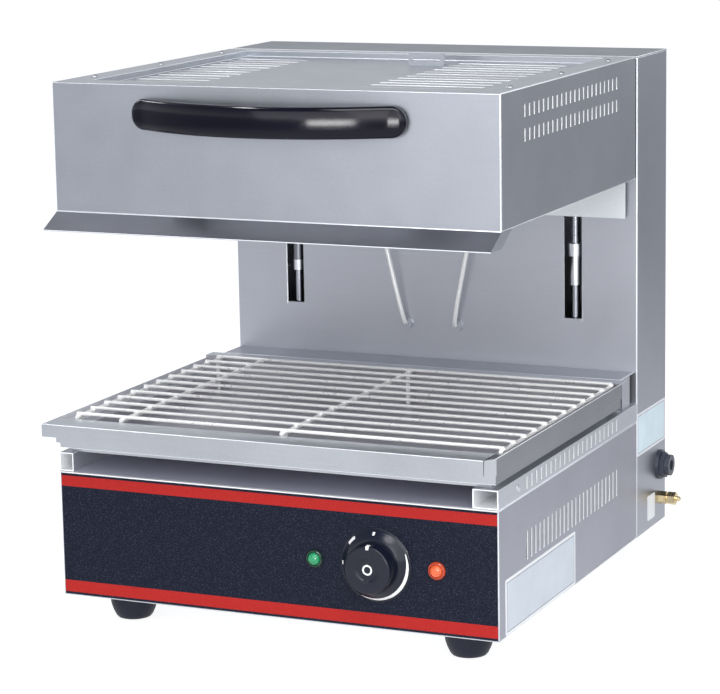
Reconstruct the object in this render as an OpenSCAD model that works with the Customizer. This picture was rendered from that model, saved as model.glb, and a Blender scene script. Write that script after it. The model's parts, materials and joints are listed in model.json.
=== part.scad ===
// Electric salamander grill with a lifting hood. A low base carries a drip tray and a wire rack,
// and a column behind it guides the heated hood up and down on two rods.
// X is to the right, Y to the back, Z up, in millimetres. The floor is at Z = 0.

/* [Body] */
// Width of the base, the column and the hood
body_w = 450; // [430:1:500]
// Depth of the base, from its front to the column
base_d = 389; // [375:1:440]
// Height of the base
base_h = 123; // [112:1:132]
// Depth of the column
column_d = 95; // [80:1:130]
// Height of the column above the underside of the base
column_h = 494; // [488:1:550]
// Thickness of the panel sheet
sheet_t = 1.2; // [0.8:0.1:1.8]
// Thickness of the printed film on the front panel
film_t = 1; // [0.5:0.1:2]
// Height of the bright steel edge above the film
deck_edge_h = 2.4; // [2:0.1:8]

/* [Feet] */
// Height of a foot
foot_h = 30; // [20:1:40]
// Radius of a foot at its top
foot_r = 22.5; // [19:0.5:28]
// Radius of a foot's flat underside
foot_flat_r = 14; // [8:0.5:15]
// Distance of a front foot's centre from the base's front and sides, and of a rear foot's from the back
foot_inset = 49; // [36:1:70]
// Distance of a rear foot's centre from the sides
rear_foot_inset = 62; // [36:1:90]

/* [Rails] */
// Height of the two rails on the base
rail_h = 18; // [14:1:24]
// Width of the left rail
rail_left_w = 15; // [13:1:30]
// Width of the right rail
rail_right_w = 25; // [13:1:30]
// Depth of the fixed ledge behind the tray
ledge_d = 43; // [30:1:55]
// Height of that ledge above the rails
ledge_h = 33; // [26:1:38]

/* [Vents] */
// Distance of the first vent slot from the base's front
vent_front = 72; // [50:1:90]
// Distance of the last vent slot from the column
vent_rear = 64; // [50:1:90]
// Width of a vent slot
vent_w = 4; // [2:0.5:6]
// Number of slots in a base side
base_vent_n = 24; // [12:1:26]
// Height of a slot in a base side
base_vent_h = 27; // [15:1:40]
// Height of those slots' middle above the base's underside
base_vent_up = 73; // [50:1:85]
// Number of slots in a rail's wall
rail_vent_n = 21; // [10:1:26]
// Number of slots in a row in a hood side
hood_vent_n = 22; // [10:1:26]
// Height of a slot in a hood side
hood_vent_h = 11.5; // [6:0.5:14]

/* [Tray] */
// How far the tray's rim stands out past the base's sides
tray_overhang = 6.5; // [3:0.5:12]
// How far the tray's front stands out past the base's front
tray_lip = 20.5; // [12:0.5:28]
// Distance of the pan's walls from the base's sides
pan_inset = 9; // [5:0.5:11]
// Depth of the pan, from the rails to its side ledges
pan_h = 19; // [12:1:22]
// Height of the tray's rim above the rails
tray_h = 34.5; // [30:0.5:40]
// How far the front rim lies below the side rim
front_rim_drop = 3; // [1:0.5:6]
// Thickness of the tray's sheet
tray_t = 1; // [0.8:0.1:1.5]
// Gap between the tray and the ledge behind it
tray_gap = 8; // [4:1:15]

/* [Rack] */
// Number of wires across the rack
rack_wire_n = 12; // [6:1:16]
// Radius of those wires
rack_wire_r = 1.6; // [1:0.1:3]
// Radius of the bars that carry them
rack_bar_r = 2.1; // [1.5:0.1:3.5]
// Height of the wires' top above the rails
rack_top_h = 37; // [34:0.5:42]
// Gap between the rack's right end and the tray's rim
rack_gap = 5.5; // [3:0.5:10]
// Space left in the tray beyond the rack's left end
rack_left_gap = 17; // [10:1:25]

/* [Hood] */
// Height of the hood's sides
hood_h = 122; // [112:1:128]
// Distance of the hood's front behind the base's front
hood_setback = 12.5; // [6:0.5:20]
// Gap between the hood and the column
hood_gap = 5; // [3:0.5:8]
// How far the front lip reaches forward
lip_reach = 26; // [15:1:32]
// How far the front lip drops
lip_drop = 14; // [8:0.5:20]
// Depth of the flanges at the lip's ends
lip_return = 26; // [12:1:32]
// How far the hood slides down
hood_travel = 130; // [100:1:135]
// How far the carriage plate hangs below the hood's sides
carriage_drop = 40; // [20:1:50]
// Distance of the carriage plate's edges from the hood's sides
carriage_inset = 10; // [6:0.5:11]
// Thickness of the carriage plate
carriage_t = 2; // [1.5:0.1:3]
// Width of the flat rim round the hood's top
top_rim_w = 27; // [18:1:40]
// Depth of the recess in the hood's top
top_recess = 6; // [3:0.5:12]

/* [Handle] */
// Length of the handle
handle_l = 276; // [200:1:320]
// Height of the handle
handle_h = 29; // [22:1:34]
// How far the handle's bow stands out from the hood
handle_bow = 48; // [36:1:60]
// Thickness of the handle
handle_t = 13; // [10:0.5:18]
// Distance of the handle's middle below the hood's top
handle_down = 27; // [22:1:45]

/* [Guides] */
// Distance between the two guide rods
rod_spacing = 313; // [260:1:340]
// Radius of a guide rod
rod_r = 4.5; // [3:0.5:5]
// Width of a slot in the column's front plate
guide_slot_w = 19; // [17:0.5:24]
// Distance between the two gas struts
strut_spacing = 200; // [120:1:230]
// Radius of a gas strut's rod
strut_rod_r = 4; // [3:0.5:5]
// Radius of a gas strut's tube
strut_tube_r = 9; // [7:0.5:11]

/* [Heating] */
// Number of heating elements
element_n = 3; // [2:1:4]
// Radius of an element's tube
element_r = 4; // [3:0.5:5]
// Height of the elements above the hood's lower edge
element_up = 18; // [14:1:24]
// Height of the reflector above the hood's lower edge
reflector_up = 40; // [36:1:50]
// Thickness of the insulation above the reflector
insulation_t = 20; // [10:1:30]

/* [Controls] */
// Sideways place of the green lamp
green_lamp_x = 43; // [20:1:52]
// Sideways place of the knob
knob_x = 105; // [100:1:115]
// Sideways place of the orange lamp
orange_lamp_x = 165; // [158:1:185]
// Radius of a lamp's bezel
lamp_bezel_r = 8.5; // [7:0.5:10]
// Radius of the knob's skirt
skirt_r = 35; // [28:0.5:38]
// Radius of the knob's grip
grip_r = 22.5; // [16:0.5:24]
// How far the grip stands out from the skirt
grip_l = 13.5; // [10:0.5:32]

/* [Terminals] */
// Distance of the cable gland from the column's back
gland_back = 19; // [18:0.5:26]
// Height of the cable gland above the base's underside
gland_up = 61; // [50:1:75]
// Radius of the cable gland's bore
gland_bore_r = 5.5; // [4:0.5:6.5]
// Distance of the earth stud from the column's back
stud_back = 25; // [15:0.5:35]
// Height of the earth stud above the base's underside
stud_up = 27; // [18:1:32]
// Radius of the earth stud
stud_r = 3; // [2.5:0.5:4]
// How far the earth stud stands out from the column
stud_reach = 25; // [24:0.5:30]

/* [Hidden] */
$fn = 64;
// Clearances of screws in holes and of rods in bushes, and how far a cut runs past a face
screw_gap = 0.15;
bush_gap = 0.05;
cut = 1;

// Levels
half_w = body_w / 2;
inner_w = half_w - sheet_t;
base_z = foot_h;
foot_edge = 3;
deck_z = base_z + base_h;
rail_z = deck_z + rail_h;
top_z = base_z + column_h;
rear_y = base_d + column_d;
plate_back_y = base_d + sheet_t;

// Screws
screw_r = 2;
screw_head_r = 3.6;
screw_head_h = 2;
screw_l = 8;

// Vents, with the two rows in a hood side placed from the hood's top
vent_last = base_d - vent_rear;
hood_vent_downs = [15, 37];
rail_vent_in = 3;

// Rails and the column's rear cover
rail_screw_y = 50;
cover_screw_in = 14;
cover_vent_n = 12;
cover_vent_l = 90;
cover_vent_x = 56;
cover_vent_pitch = 14;
cover_vent_down = 60;

// Ledge behind the tray
ledge_y = base_d - ledge_d;
ledge_z = rail_z + ledge_h;
ledge_inset = 3;
ledge_tab_y = 5;
ledge_tab_d = 24;

// Tray
tray_hw = half_w + tray_overhang;
pan_hw = half_w - pan_inset;
tray_y0 = -tray_lip;
tray_y1 = ledge_y - tray_gap;
tray_rear_flange = 16;
pan_y0 = 8;
pan_y1 = tray_y1 - tray_rear_flange;
pan_ledge_z = rail_z + pan_h;
tray_rim_z = rail_z + tray_h;
front_rim_z = tray_rim_z - front_rim_drop;
skirt_gap = 10;
skirt_z = rail_z + skirt_gap;
skirt_lap = 4;
corner_tab_w = 12.5;
corner_slit_w = 0.8;
corner_slit_h = 14;
ear_step = 4.5;

// Rack
rack_x0 = -tray_hw + tray_t + rack_left_gap;
rack_x1 = tray_hw - tray_t - rack_gap;
rack_z = rail_z + rack_top_h - rack_wire_r;
rack_weld = 0.6;
rack_bar_z = rack_z - rack_wire_r - rack_bar_r + rack_weld;
rack_end_gap = 3;
rack_y0 = pan_y0 + tray_t + rack_end_gap;
rack_y1 = pan_y1 - tray_t - rack_end_gap;
rack_overhang = 5;
rack_leg_in = 8;
second_bar_in = 50;
rack_mid_x = (rack_x0 + rack_x1) / 2;
rack_bars = [rack_x0 + rack_bar_r, rack_x0 + second_bar_in, rack_mid_x, rack_x1 - rack_bar_r];
rack_leg_bars = [rack_bars[0], rack_bars[2], rack_bars[3]];

// Hood
hood_z = top_z - hood_h;
hood_y0 = hood_setback;
hood_y1 = base_d - hood_gap;
hood_in_y = hood_y0 + sheet_t;
hood_flange_w = 12;
carriage_back_y = hood_y1 - sheet_t;
carriage_y = carriage_back_y - carriage_t;
recess_hw = inner_w - top_rim_w;
recess_y0 = hood_in_y + top_rim_w;
top_rear_rim = 16;
recess_y1 = hood_y1 - top_rear_rim;
recess_floor_z = top_z - top_recess - sheet_t;
top_slot_n = 13;
top_slot_w = 7;
top_slot_end = 32;
left_field_l = 78;
right_field_l = 114;
field_in = 6;
right_field_in = 28;
top_screw_in = 12;
top_screw_end = 30;
bracket_x = 11;
bracket_w = 38;
bracket_d = 10;
bracket_h = 12;
bracket_t = 1.5;
bracket_back = 56;
bracket_bar = 4;
lip_end_fall = 1;

// Handle, an arc whose ends meet the hood's front
handle_z = top_z - handle_down;
handle_arc_r = (pow(handle_l / 2, 2) + pow(handle_bow, 2)) / (2 * handle_bow);
handle_arc_y = hood_y0 - handle_bow + handle_arc_r;
handle_end_r = handle_h / 2;
handle_screw_in = 12;
handle_screw_x = handle_l / 2 - handle_screw_in;
handle_screw_depth = 5;

// Guides. The carriage's blocks hang from the column's top, and the stops lie one travel below them
rod_x = rod_spacing / 2;
rod_back = 8;
rod_y = plate_back_y + rod_back;
bush_r = rod_r + 3;
block_hw = 13;
block_h = 40;
end_block_h = 13;
block_gap = 6.5;
block_top_z = top_z - sheet_t - end_block_h - block_gap;
block_z = block_top_z - block_h;
block_front_gap = 1.5;
neck_hw = guide_slot_w / 2 - 3.5;
stop_gap = 1;
stop_top_z = block_z - hood_travel - stop_gap;
collar_h = 13;
collar_r = rod_r + 3.5;
sleeve_h = 30;
sleeve_r = rod_r + 2;
slot_foot = 34;
guide_slot_z = stop_top_z - collar_h - sleeve_h - slot_foot;
slot_head = 2;
guide_slot_top_z = block_top_z + slot_head;
lower_block_gap = 4;
lower_block_z = guide_slot_z - end_block_h - lower_block_gap;
bar_up = 6;
bar_z = block_z + bar_up;
bar_h = 20;
bar_hd = 6;
strut_x = strut_spacing / 2;
strut_back = 15;
strut_y = plate_back_y + strut_back;
strut_clear = 40;
strut_top_z = bar_z - hood_travel - strut_clear;
strut_overlap = 60;
strut_rod_z = strut_top_z - strut_overlap;
strut_bore_spare = 5;
strut_bore_z = strut_rod_z - hood_travel - strut_bore_spare;

// Reflector and elements
reflector_t = 1;
reflector_z = hood_z + reflector_up;
pocket_w = 24;
pocket_front = 18;
pocket_back = 34;
reflector_hw = inner_w - pocket_w;
reflector_y0 = hood_in_y + pocket_front;
reflector_y1 = carriage_y - pocket_back;
reflector_skirt = 5;
element_z = hood_z + element_up;
run_n = 2 * element_n;
run_pitch = floor((reflector_y1 - reflector_y0) / run_n);
run_mid_y = (reflector_y0 + reflector_y1) / 2;
bend_r = run_pitch / 2;
element_end = 6;
bend_x = -reflector_hw + reflector_t + bend_r + element_r + element_end;
element_end_x = reflector_hw + element_end;
element_gap = 0.2;
pin_r = 1.5;
pin_l = 8;
hanger_t = 1.5;
hanger_x = reflector_hw / 2;
hanger_below = 8;

// Leads from the column's plate to the box under the hood
lead_r = 2.3;
lead_foot_x = 28;
lead_head_x = 62;
lead_up = 36.5;
lead_z = ledge_z + lead_up;
lead_notch_hw = 85;
lead_stub = 4;
lead_start = 1.5;
lead_foot_pull = [0, -10, 4];
lead_head_pull = [25.5, 116];
lead_gap = 1.7;
lead_tail = 8;
grommet_r = 4.5;
grommet_gap = 0.3;
grommet_flange_r = 6.5;
grommet_flange_t = 2;
lead_box_hw = 76;
lead_box_d = 28;
lead_box_h = 30;
lead_head_y = carriage_y - lead_gap - lead_r;
lead_sides = 10;
lead_steps = 22;

// Wires inside the column, from the leads to the terminal block
pass_hole_hw = 50;
pass_hole_h = 40;
pass_hole_up = 6;
terminal_hw = 40;
terminal_d = 30;
terminal_h = 24;
terminal_back = 45;
terminal_hole_r = 5;
terminal_pitch = 15;
wire_bend = 20;
wire_lead = 4;

// Controls
control_z = base_z + base_h / 2;
panel_back_y = film_t + sheet_t;
shaft_r = 3;
shaft_bush_r = 5;
thermostat_w = 42;
thermostat_h = 46;
thermostat_d = 30;
shaft_depth = 18;
skirt_gap_y = 0.6;
skirt_t = 8;
skirt_step = 3.5;
grip_taper = 1.2;
skirt_y = -skirt_gap_y - skirt_t;
grip_y = skirt_y - grip_l;
lamp_r = 6;
lamp_barrel_r = 6.8;
lamp_barrel_l = 24;
lamp_rim_h = 3;
lens_out = 6;

// Cable gland and earth stud on the column's right side
gland_y = rear_y - gland_back;
gland_z = base_z + gland_up;
gland_thread_r = gland_bore_r + 2.5;
gland_flange_r = gland_bore_r + 10;
gland_flange_t = 3;
gland_hex_r = gland_bore_r + 8;
gland_hex_t = 5;
gland_dome_r = gland_bore_r + 5.5;
gland_dome_t = 5;
gland_tail = 10;
locknut_t = 4;
gland_reach = gland_flange_t + gland_hex_t + gland_dome_t;
stud_y = rear_y - stud_back;
stud_z = base_z + stud_up;
stud_tip = 1.5;
stud_tail = 10;
stud_end_r = stud_r - 0.4;
nut_r = stud_r + 3.9;
first_nut_t = 10;
second_nut_t = 8.5;
nut_split = 1.5;
nut_end = first_nut_t + nut_split + second_nut_t;
inner_nut_t = 5;

// The part's origin is under the middle of its outline
origin_x = (half_w + max(stud_reach, gland_reach) - tray_hw) / 2;
origin_y = (rear_y + screw_head_h + min(hood_y0 - handle_bow, tray_y0, grip_y)) / 2;

steel = [0.72, 0.74, 0.76];
bright_steel = [0.84, 0.86, 0.88];
dark_steel = [0.45, 0.46, 0.48];
black = [0.09, 0.09, 0.11];
brass = [0.83, 0.68, 0.36];

// Shared shapes

// Moves a piece from the body's middle and front to the part's origin
module placed() {
    translate([-origin_x, -origin_y, 0]) children();
}

// A box between two corners
module block(low, high) {
    translate(low) cube(high - low);
}

// Turns a shape that stands along Z to point along +X, +Y or -Y
module along_x(place) {
    translate(place) rotate([0, 90, 0]) children();
}

module along_y(place) {
    translate(place) rotate([-90, 0, 0]) children();
}

module along_front(place) {
    translate(place) rotate([90, 0, 0]) children();
}

// A row of upright slots through a wall that faces sideways, between two heights
module vent_row(count, low_z, high_z, x0, x1) {
    pitch = (vent_last - vent_front) / (count - 1);
    for (i = [0 : count - 1]) {
        y = vent_front + i * pitch;
        block([x0, y - vent_w / 2, low_z], [x1, y + vent_w / 2, high_z]);
    }
}

// A round-headed screw that points along -Z from the head's seat at Z = 0
module screw(length = screw_l) {
    rotate_extrude() union() {
        translate([0, -length]) square([screw_r, length]);
        intersection() {
            translate([0, screw_head_h - screw_head_r * 1.5]) circle(screw_head_r * 1.5);
            square([screw_head_r, screw_head_h]);
        }
    }
}

// A hole for such a screw
module screw_hole() {
    translate([0, 0, -screw_l]) cylinder(r = screw_r + screw_gap, h = 2 * screw_l);
}

// A tube swept along points, with its rings square to the path
function unit(v) = v / norm(v);
function path_dir(p, i) = unit(p[min(i + 1, len(p) - 1)] - p[max(i - 1, 0)]);
function ring_side(d, side) = unit(cross(side, d));

module swept_tube(path, r, sides, side) {
    count = len(path);
    points = [
        for (i = [0 : count - 1])
            let (d = path_dir(path, i), u = ring_side(d, side), v = cross(d, u))
            for (k = [0 : sides - 1]) path[i] + r * (cos(360 * k / sides) * u + sin(360 * k / sides) * v)
    ];
    walls = [
        for (i = [0 : count - 2], k = [0 : sides - 1])
            let (a = i * sides + k, b = i * sides + (k + 1) % sides)
            each [[a, a + sides, b], [b, a + sides, b + sides]]
    ];
    start_cap = [for (k = [1 : sides - 2]) [0, k, k + 1]];
    last = (count - 1) * sides;
    end_cap = [for (k = [1 : sides - 2]) [last, last + k + 1, last + k]];
    polyhedron(points, concat(walls, start_cap, end_cap));
}

function bezier(a, b, c, d, t) =
    pow(1 - t, 3) * a + 3 * t * pow(1 - t, 2) * b + 3 * t * t * (1 - t) * c + pow(t, 3) * d;

// Places of the feet and the screws that hold them
function foot_places() = [
    for (side = [-1, 1]) each [
        [side * (half_w - foot_inset), foot_inset],
        [side * (half_w - rear_foot_inset), rear_y - foot_inset]
    ]
];

// Base

module base_bottom() placed() color(steel) difference() {
    block([-half_w, 0, base_z], [half_w, base_d, base_z + sheet_t]);
    for (place = foot_places()) translate([place[0], place[1], base_z]) screw_hole();
}

module base_side(side) placed() color(steel) difference() {
    inner = side > 0 ? inner_w : -half_w;
    middle_z = base_z + base_vent_up;
    block([inner, 0, base_z + sheet_t], [inner + sheet_t, base_d, deck_z - sheet_t]);
    vent_row(base_vent_n, middle_z - base_vent_h / 2, middle_z + base_vent_h / 2,
             inner - cut, inner + sheet_t + cut);
}

module base_side_left() base_side(-1);
module base_side_right() base_side(1);

module control_holes(depth) {
    along_front([knob_x, depth, control_z]) cylinder(r = shaft_bush_r + screw_gap, h = 2 * depth);
    for (x = [green_lamp_x, orange_lamp_x])
        along_front([x, depth, control_z]) cylinder(r = lamp_barrel_r + screw_gap, h = 2 * depth);
}

module front_panel() placed() color(steel) difference() {
    block([-inner_w, film_t, base_z + sheet_t], [inner_w, panel_back_y, deck_z - sheet_t]);
    control_holes(panel_back_y + cut);
}

module front_overlay() placed() color(black) difference() {
    block([-inner_w, 0, base_z + sheet_t], [inner_w, film_t, deck_z - deck_edge_h]);
    control_holes(panel_back_y + cut);
}

module base_deck() placed() color(dark_steel) {
    block([-half_w, 0, deck_z - sheet_t], [half_w, base_d, deck_z]);
    block([-inner_w, 0, deck_z - deck_edge_h], [inner_w, film_t, deck_z - sheet_t]);
}

// A tapered foot with a blind hole for its screw
module feet() placed() color(black) for (place = foot_places())
    translate([place[0], place[1], 0]) difference() {
        rotate_extrude() polygon([
            [0, 0],
            [foot_flat_r, 0],
            [foot_flat_r + foot_edge, foot_edge],
            [foot_r, foot_h],
            [0, foot_h]
        ]);
        translate([0, 0, foot_h + sheet_t]) screw_hole();
    }

module foot_screws() placed() color(bright_steel) for (place = foot_places())
    translate([place[0], place[1], base_z + sheet_t]) screw(screw_l - cut);

// A rectangular tube with open ends and slots in both walls
module rail(x0, x1, screw_x) placed() color(steel) difference() {
    block([x0, 0, deck_z], [x1, base_d, rail_z]);
    block([x0 + sheet_t, -cut, deck_z + sheet_t], [x1 - sheet_t, base_d + cut, rail_z - sheet_t]);
    vent_row(rail_vent_n, deck_z + rail_vent_in, rail_z - rail_vent_in, x0 - cut, x1 + cut);
    along_x([screw_x, rail_screw_y, deck_z + rail_h / 2]) screw_hole();
}

module rail_left() rail(-half_w, -half_w + rail_left_w, -half_w);
module rail_right() rail(half_w - rail_right_w, half_w, half_w);

module rail_screws() placed() color(bright_steel) {
    middle_z = deck_z + rail_h / 2;
    along_x([half_w, rail_screw_y, middle_z]) screw();
    mirror([1, 0, 0]) along_x([half_w, rail_screw_y, middle_z]) screw();
}

// A folded ledge behind the tray, with a tab turned down at each end
module rear_ledge() placed() color(bright_steel) {
    x = half_w - ledge_inset;
    block([-x, ledge_y, ledge_z - sheet_t], [x, base_d, ledge_z]);
    block([-x, ledge_y, rail_z], [x, ledge_y + sheet_t, ledge_z]);
    for (x0 = [-x, x - sheet_t])
        block([x0, ledge_y + ledge_tab_y, rail_z],
              [x0 + sheet_t, ledge_y + ledge_tab_y + ledge_tab_d, ledge_z]);
}

// Column

module column_front_plate() placed() color(steel) difference() {
    block([-half_w, base_d, base_z], [half_w, plate_back_y, top_z - sheet_t]);
    for (x = [-rod_x, rod_x])
        block([x - guide_slot_w / 2, base_d - cut, guide_slot_z],
              [x + guide_slot_w / 2, plate_back_y + cut, guide_slot_top_z]);
    for (x = [-lead_foot_x, lead_foot_x])
        along_y([x, base_d - cut, lead_z]) cylinder(r = grommet_r + screw_gap, h = sheet_t + 2 * cut);
    block([-pass_hole_hw, base_d - cut, base_z + pass_hole_up],
          [pass_hole_hw, plate_back_y + cut, base_z + pass_hole_up + pass_hole_h]);
}

module column_side_left() placed() color(steel)
    block([-half_w, plate_back_y, base_z + sheet_t], [-inner_w, rear_y - sheet_t, top_z - sheet_t]);

module column_side_right() placed() color(steel) difference() {
    block([inner_w, plate_back_y, base_z + sheet_t], [half_w, rear_y - sheet_t, top_z - sheet_t]);
    along_x([inner_w - cut, gland_y, gland_z])
        cylinder(r = gland_thread_r + screw_gap, h = sheet_t + 2 * cut);
    along_x([inner_w - cut, stud_y, stud_z]) cylinder(r = stud_r + screw_gap, h = sheet_t + 2 * cut);
}

module column_floor() placed() color(steel) difference() {
    block([-half_w, plate_back_y, base_z], [half_w, rear_y - sheet_t, base_z + sheet_t]);
    for (place = foot_places()) translate([place[0], place[1], base_z]) screw_hole();
}

function cover_screw_places() = [
    for (x = [-half_w + cover_screw_in, half_w - cover_screw_in],
         z = [base_z + cover_screw_in, base_z + column_h / 2, top_z - cover_screw_in]) [x, z]
];

module column_rear_cover() placed() color(steel) difference() {
    block([-half_w, rear_y - sheet_t, base_z], [half_w, rear_y, top_z - sheet_t]);
    for (x = [-cover_vent_x, cover_vent_x], i = [0 : cover_vent_n - 1]) {
        z = top_z - cover_vent_down - i * cover_vent_pitch;
        block([x - cover_vent_l / 2, rear_y - sheet_t - cut, z],
              [x + cover_vent_l / 2, rear_y + cut, z + vent_w]);
    }
    for (place = cover_screw_places()) along_y([place[0], rear_y, place[1]]) screw_hole();
}

module rear_cover_screws() placed() color(bright_steel) for (place = cover_screw_places())
    along_y([place[0], rear_y, place[1]]) screw();

module column_top() placed() color(bright_steel)
    block([-half_w, base_d, top_z - sheet_t], [half_w, rear_y, top_z]);

// Guides

module guide_rods() placed() color(bright_steel) for (x = [-rod_x, rod_x])
    translate([x, rod_y, lower_block_z]) cylinder(r = rod_r, h = top_z - sheet_t - lower_block_z);

module rod_end_blocks() placed() color(dark_steel)
    for (x = [-rod_x, rod_x], z = [lower_block_z, top_z - sheet_t - end_block_h]) difference() {
        block([x - block_hw, plate_back_y, z], [x + block_hw, rod_y + block_hw, z + end_block_h]);
        translate([x, rod_y, z - cut]) cylinder(r = rod_r, h = end_block_h + 2 * cut);
    }

// A collar on a longer sleeve, where the hood's blocks come to rest
module stop_sleeves() placed() color(bright_steel) for (x = [-rod_x, rod_x])
    translate([x, rod_y, stop_top_z - collar_h - sleeve_h]) difference() {
        union() {
            cylinder(r = sleeve_r, h = sleeve_h);
            translate([0, 0, sleeve_h]) cylinder(r = collar_r, h = collar_h);
        }
        translate([0, 0, -cut]) cylinder(r = rod_r, h = collar_h + sleeve_h + 2 * cut);
    }

module strut_tubes() placed() color(black) for (x = [-strut_x, strut_x]) difference() {
    translate([x, strut_y, base_z + sheet_t]) cylinder(r = strut_tube_r, h = strut_top_z - base_z - sheet_t);
    translate([x, strut_y, strut_bore_z])
        cylinder(r = strut_rod_r + bush_gap, h = strut_top_z - strut_bore_z + cut);
}

module strut_rods() placed() color(bright_steel) for (x = [-strut_x, strut_x])
    translate([x, strut_y, strut_rod_z]) cylinder(r = strut_rod_r, h = bar_z - strut_rod_z);

module carriage_arm(x) placed() color(dark_steel) difference() {
    union() {
        block([x - block_hw, plate_back_y + block_front_gap, block_z],
              [x + block_hw, rod_y + block_hw, block_top_z]);
        block([x - neck_hw, carriage_back_y, block_z], [x + neck_hw, rod_y, block_top_z]);
    }
    translate([x, rod_y, block_z - cut]) cylinder(r = bush_r, h = block_h + 2 * cut);
}

module carriage_arm_left() carriage_arm(-rod_x);
module carriage_arm_right() carriage_arm(rod_x);

module guide_bushes() placed() color(brass) for (x = [-rod_x, rod_x])
    translate([x, rod_y, block_z]) difference() {
        cylinder(r = bush_r, h = block_h);
        translate([0, 0, -cut]) cylinder(r = rod_r + bush_gap, h = block_h + 2 * cut);
    }

module carriage_crossbar() placed() color(dark_steel)
    block([-rod_x + block_hw, strut_y - bar_hd, bar_z], [rod_x - block_hw, strut_y + bar_hd, bar_z + bar_h]);

// Controls and wiring in the base

module thermostat_body() placed() color([0.8, 0.78, 0.7]) difference() {
    union() {
        block([knob_x - thermostat_w / 2, panel_back_y, control_z - thermostat_h / 2],
              [knob_x + thermostat_w / 2, panel_back_y + thermostat_d, control_z + thermostat_h / 2]);
        along_front([knob_x, panel_back_y, control_z]) cylinder(r = shaft_bush_r, h = panel_back_y);
    }
    along_y([knob_x, -cut, control_z])
        cylinder(r = shaft_r + bush_gap, h = panel_back_y + shaft_depth + 2 * cut);
}

module terminal_block() placed() color([0.85, 0.82, 0.74]) difference() {
    y1 = base_d - terminal_back;
    block([-terminal_hw, y1 - terminal_d, base_z + sheet_t],
          [terminal_hw, y1, base_z + sheet_t + terminal_h]);
    for (i = [-2 : 2])
        translate([i * terminal_pitch, y1 - terminal_d / 2, base_z + sheet_t + terminal_h / 2])
            cylinder(r = terminal_hole_r, h = terminal_h);
}

function wire_path(side) =
    let (
        x = side * lead_foot_x,
        y0 = plate_back_y + lead_tail,
        z1 = base_z + sheet_t + terminal_h / 2,
        y1 = base_d - terminal_back
    ) concat(
        [[x, y0, lead_z]],
        [for (i = [0 : 5]) let (a = 90 * i / 5)
            [x, y0 + wire_lead + wire_bend * sin(a), lead_z - wire_bend * (1 - cos(a))]],
        [for (i = [0 : 5]) let (a = 90 * i / 5)
            [x, y0 + wire_lead + wire_bend * cos(a), z1 + wire_bend * (1 - sin(a))]],
        [[x, y1, z1]]
    );

module inner_wires() placed() color([0.85, 0.85, 0.82]) for (side = [-1, 1])
    swept_tube(wire_path(side), lead_r, lead_sides, [1, 0, 0]);

module lead_grommets() placed() color(black) for (x = [-lead_foot_x, lead_foot_x])
    along_y([x, base_d, lead_z]) difference() {
        union() {
            translate([0, 0, -grommet_flange_t]) cylinder(r = grommet_flange_r, h = grommet_flange_t);
            cylinder(r = grommet_r, h = sheet_t);
        }
        translate([0, 0, -grommet_flange_t - cut])
            cylinder(r = lead_r + grommet_gap, h = grommet_flange_t + sheet_t + 2 * cut);
    }

module lamp_holders() placed() color(bright_steel) for (x = [green_lamp_x, orange_lamp_x])
    along_y([x, 0, control_z]) difference() {
        union() {
            translate([0, 0, -lamp_rim_h]) cylinder(r = lamp_bezel_r, h = lamp_rim_h);
            cylinder(r = lamp_barrel_r, h = lamp_barrel_l);
            translate([0, 0, panel_back_y]) cylinder(r = lamp_bezel_r, h = lamp_rim_h, $fn = 6);
        }
        translate([0, 0, -lamp_rim_h - cut]) cylinder(r = lamp_r, h = lamp_barrel_l + lamp_rim_h - 1);
    }

// A domed lens that fills the front of its holder
module lens(x) along_front([x, 0, control_z]) rotate_extrude() union() {
    translate([0, -lamp_rim_h]) square([lamp_r, 2 * lamp_rim_h]);
    intersection() {
        translate([0, lens_out - lamp_r * 1.1]) circle(lamp_r * 1.1);
        square([lamp_r, lens_out]);
    }
}

module green_lens() placed() color([0.2, 0.65, 0.4]) lens(green_lamp_x);
module orange_lens() placed() color([0.95, 0.4, 0.2]) lens(orange_lamp_x);

// Cable gland and earth stud

module cable_gland() placed() color(dark_steel) along_x([half_w, gland_y, gland_z]) difference() {
    union() {
        translate([0, 0, -sheet_t - gland_tail]) cylinder(r = gland_thread_r, h = sheet_t + gland_tail);
        cylinder(r = gland_flange_r, h = gland_flange_t);
        translate([0, 0, gland_flange_t]) cylinder(r = gland_hex_r, h = gland_hex_t, $fn = 6);
        translate([0, 0, gland_flange_t + gland_hex_t]) cylinder(r = gland_dome_r, h = gland_dome_t);
    }
    translate([0, 0, -sheet_t - gland_tail - cut])
        cylinder(r = gland_bore_r, h = sheet_t + gland_tail + gland_reach + 2 * cut);
}

module gland_locknut() placed() color(black) along_x([inner_w - locknut_t, gland_y, gland_z]) difference() {
    cylinder(r = gland_hex_r, h = locknut_t, $fn = 6);
    translate([0, 0, -cut]) cylinder(r = gland_thread_r, h = locknut_t + 2 * cut);
}

// A brass stud whose end is turned down past the outer nut
module earth_stud() placed() color(brass) along_x([half_w, stud_y, stud_z]) {
    translate([0, 0, -sheet_t - stud_tail]) cylinder(r = stud_r, h = sheet_t + stud_tail + nut_end);
    translate([0, 0, nut_end]) cylinder(r = stud_end_r, h = stud_reach - stud_tip - nut_end);
    translate([0, 0, stud_reach - stud_tip]) cylinder(r1 = stud_end_r, r2 = stud_end_r / 2, h = stud_tip);
}

module hex_nut(low, high) difference() {
    translate([0, 0, low]) cylinder(r = nut_r, h = high - low, $fn = 6);
    translate([0, 0, low - cut]) cylinder(r = stud_r, h = high - low + 2 * cut);
}

module earth_nuts() placed() color(brass) along_x([half_w, stud_y, stud_z]) {
    hex_nut(0, first_nut_t);
    hex_nut(nut_end - second_nut_t, nut_end);
    hex_nut(-sheet_t - inner_nut_t, -sheet_t);
}

// Tray: a stepped pan with a rim, a front apron with an ear at its left end, and a skirt on the right

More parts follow.
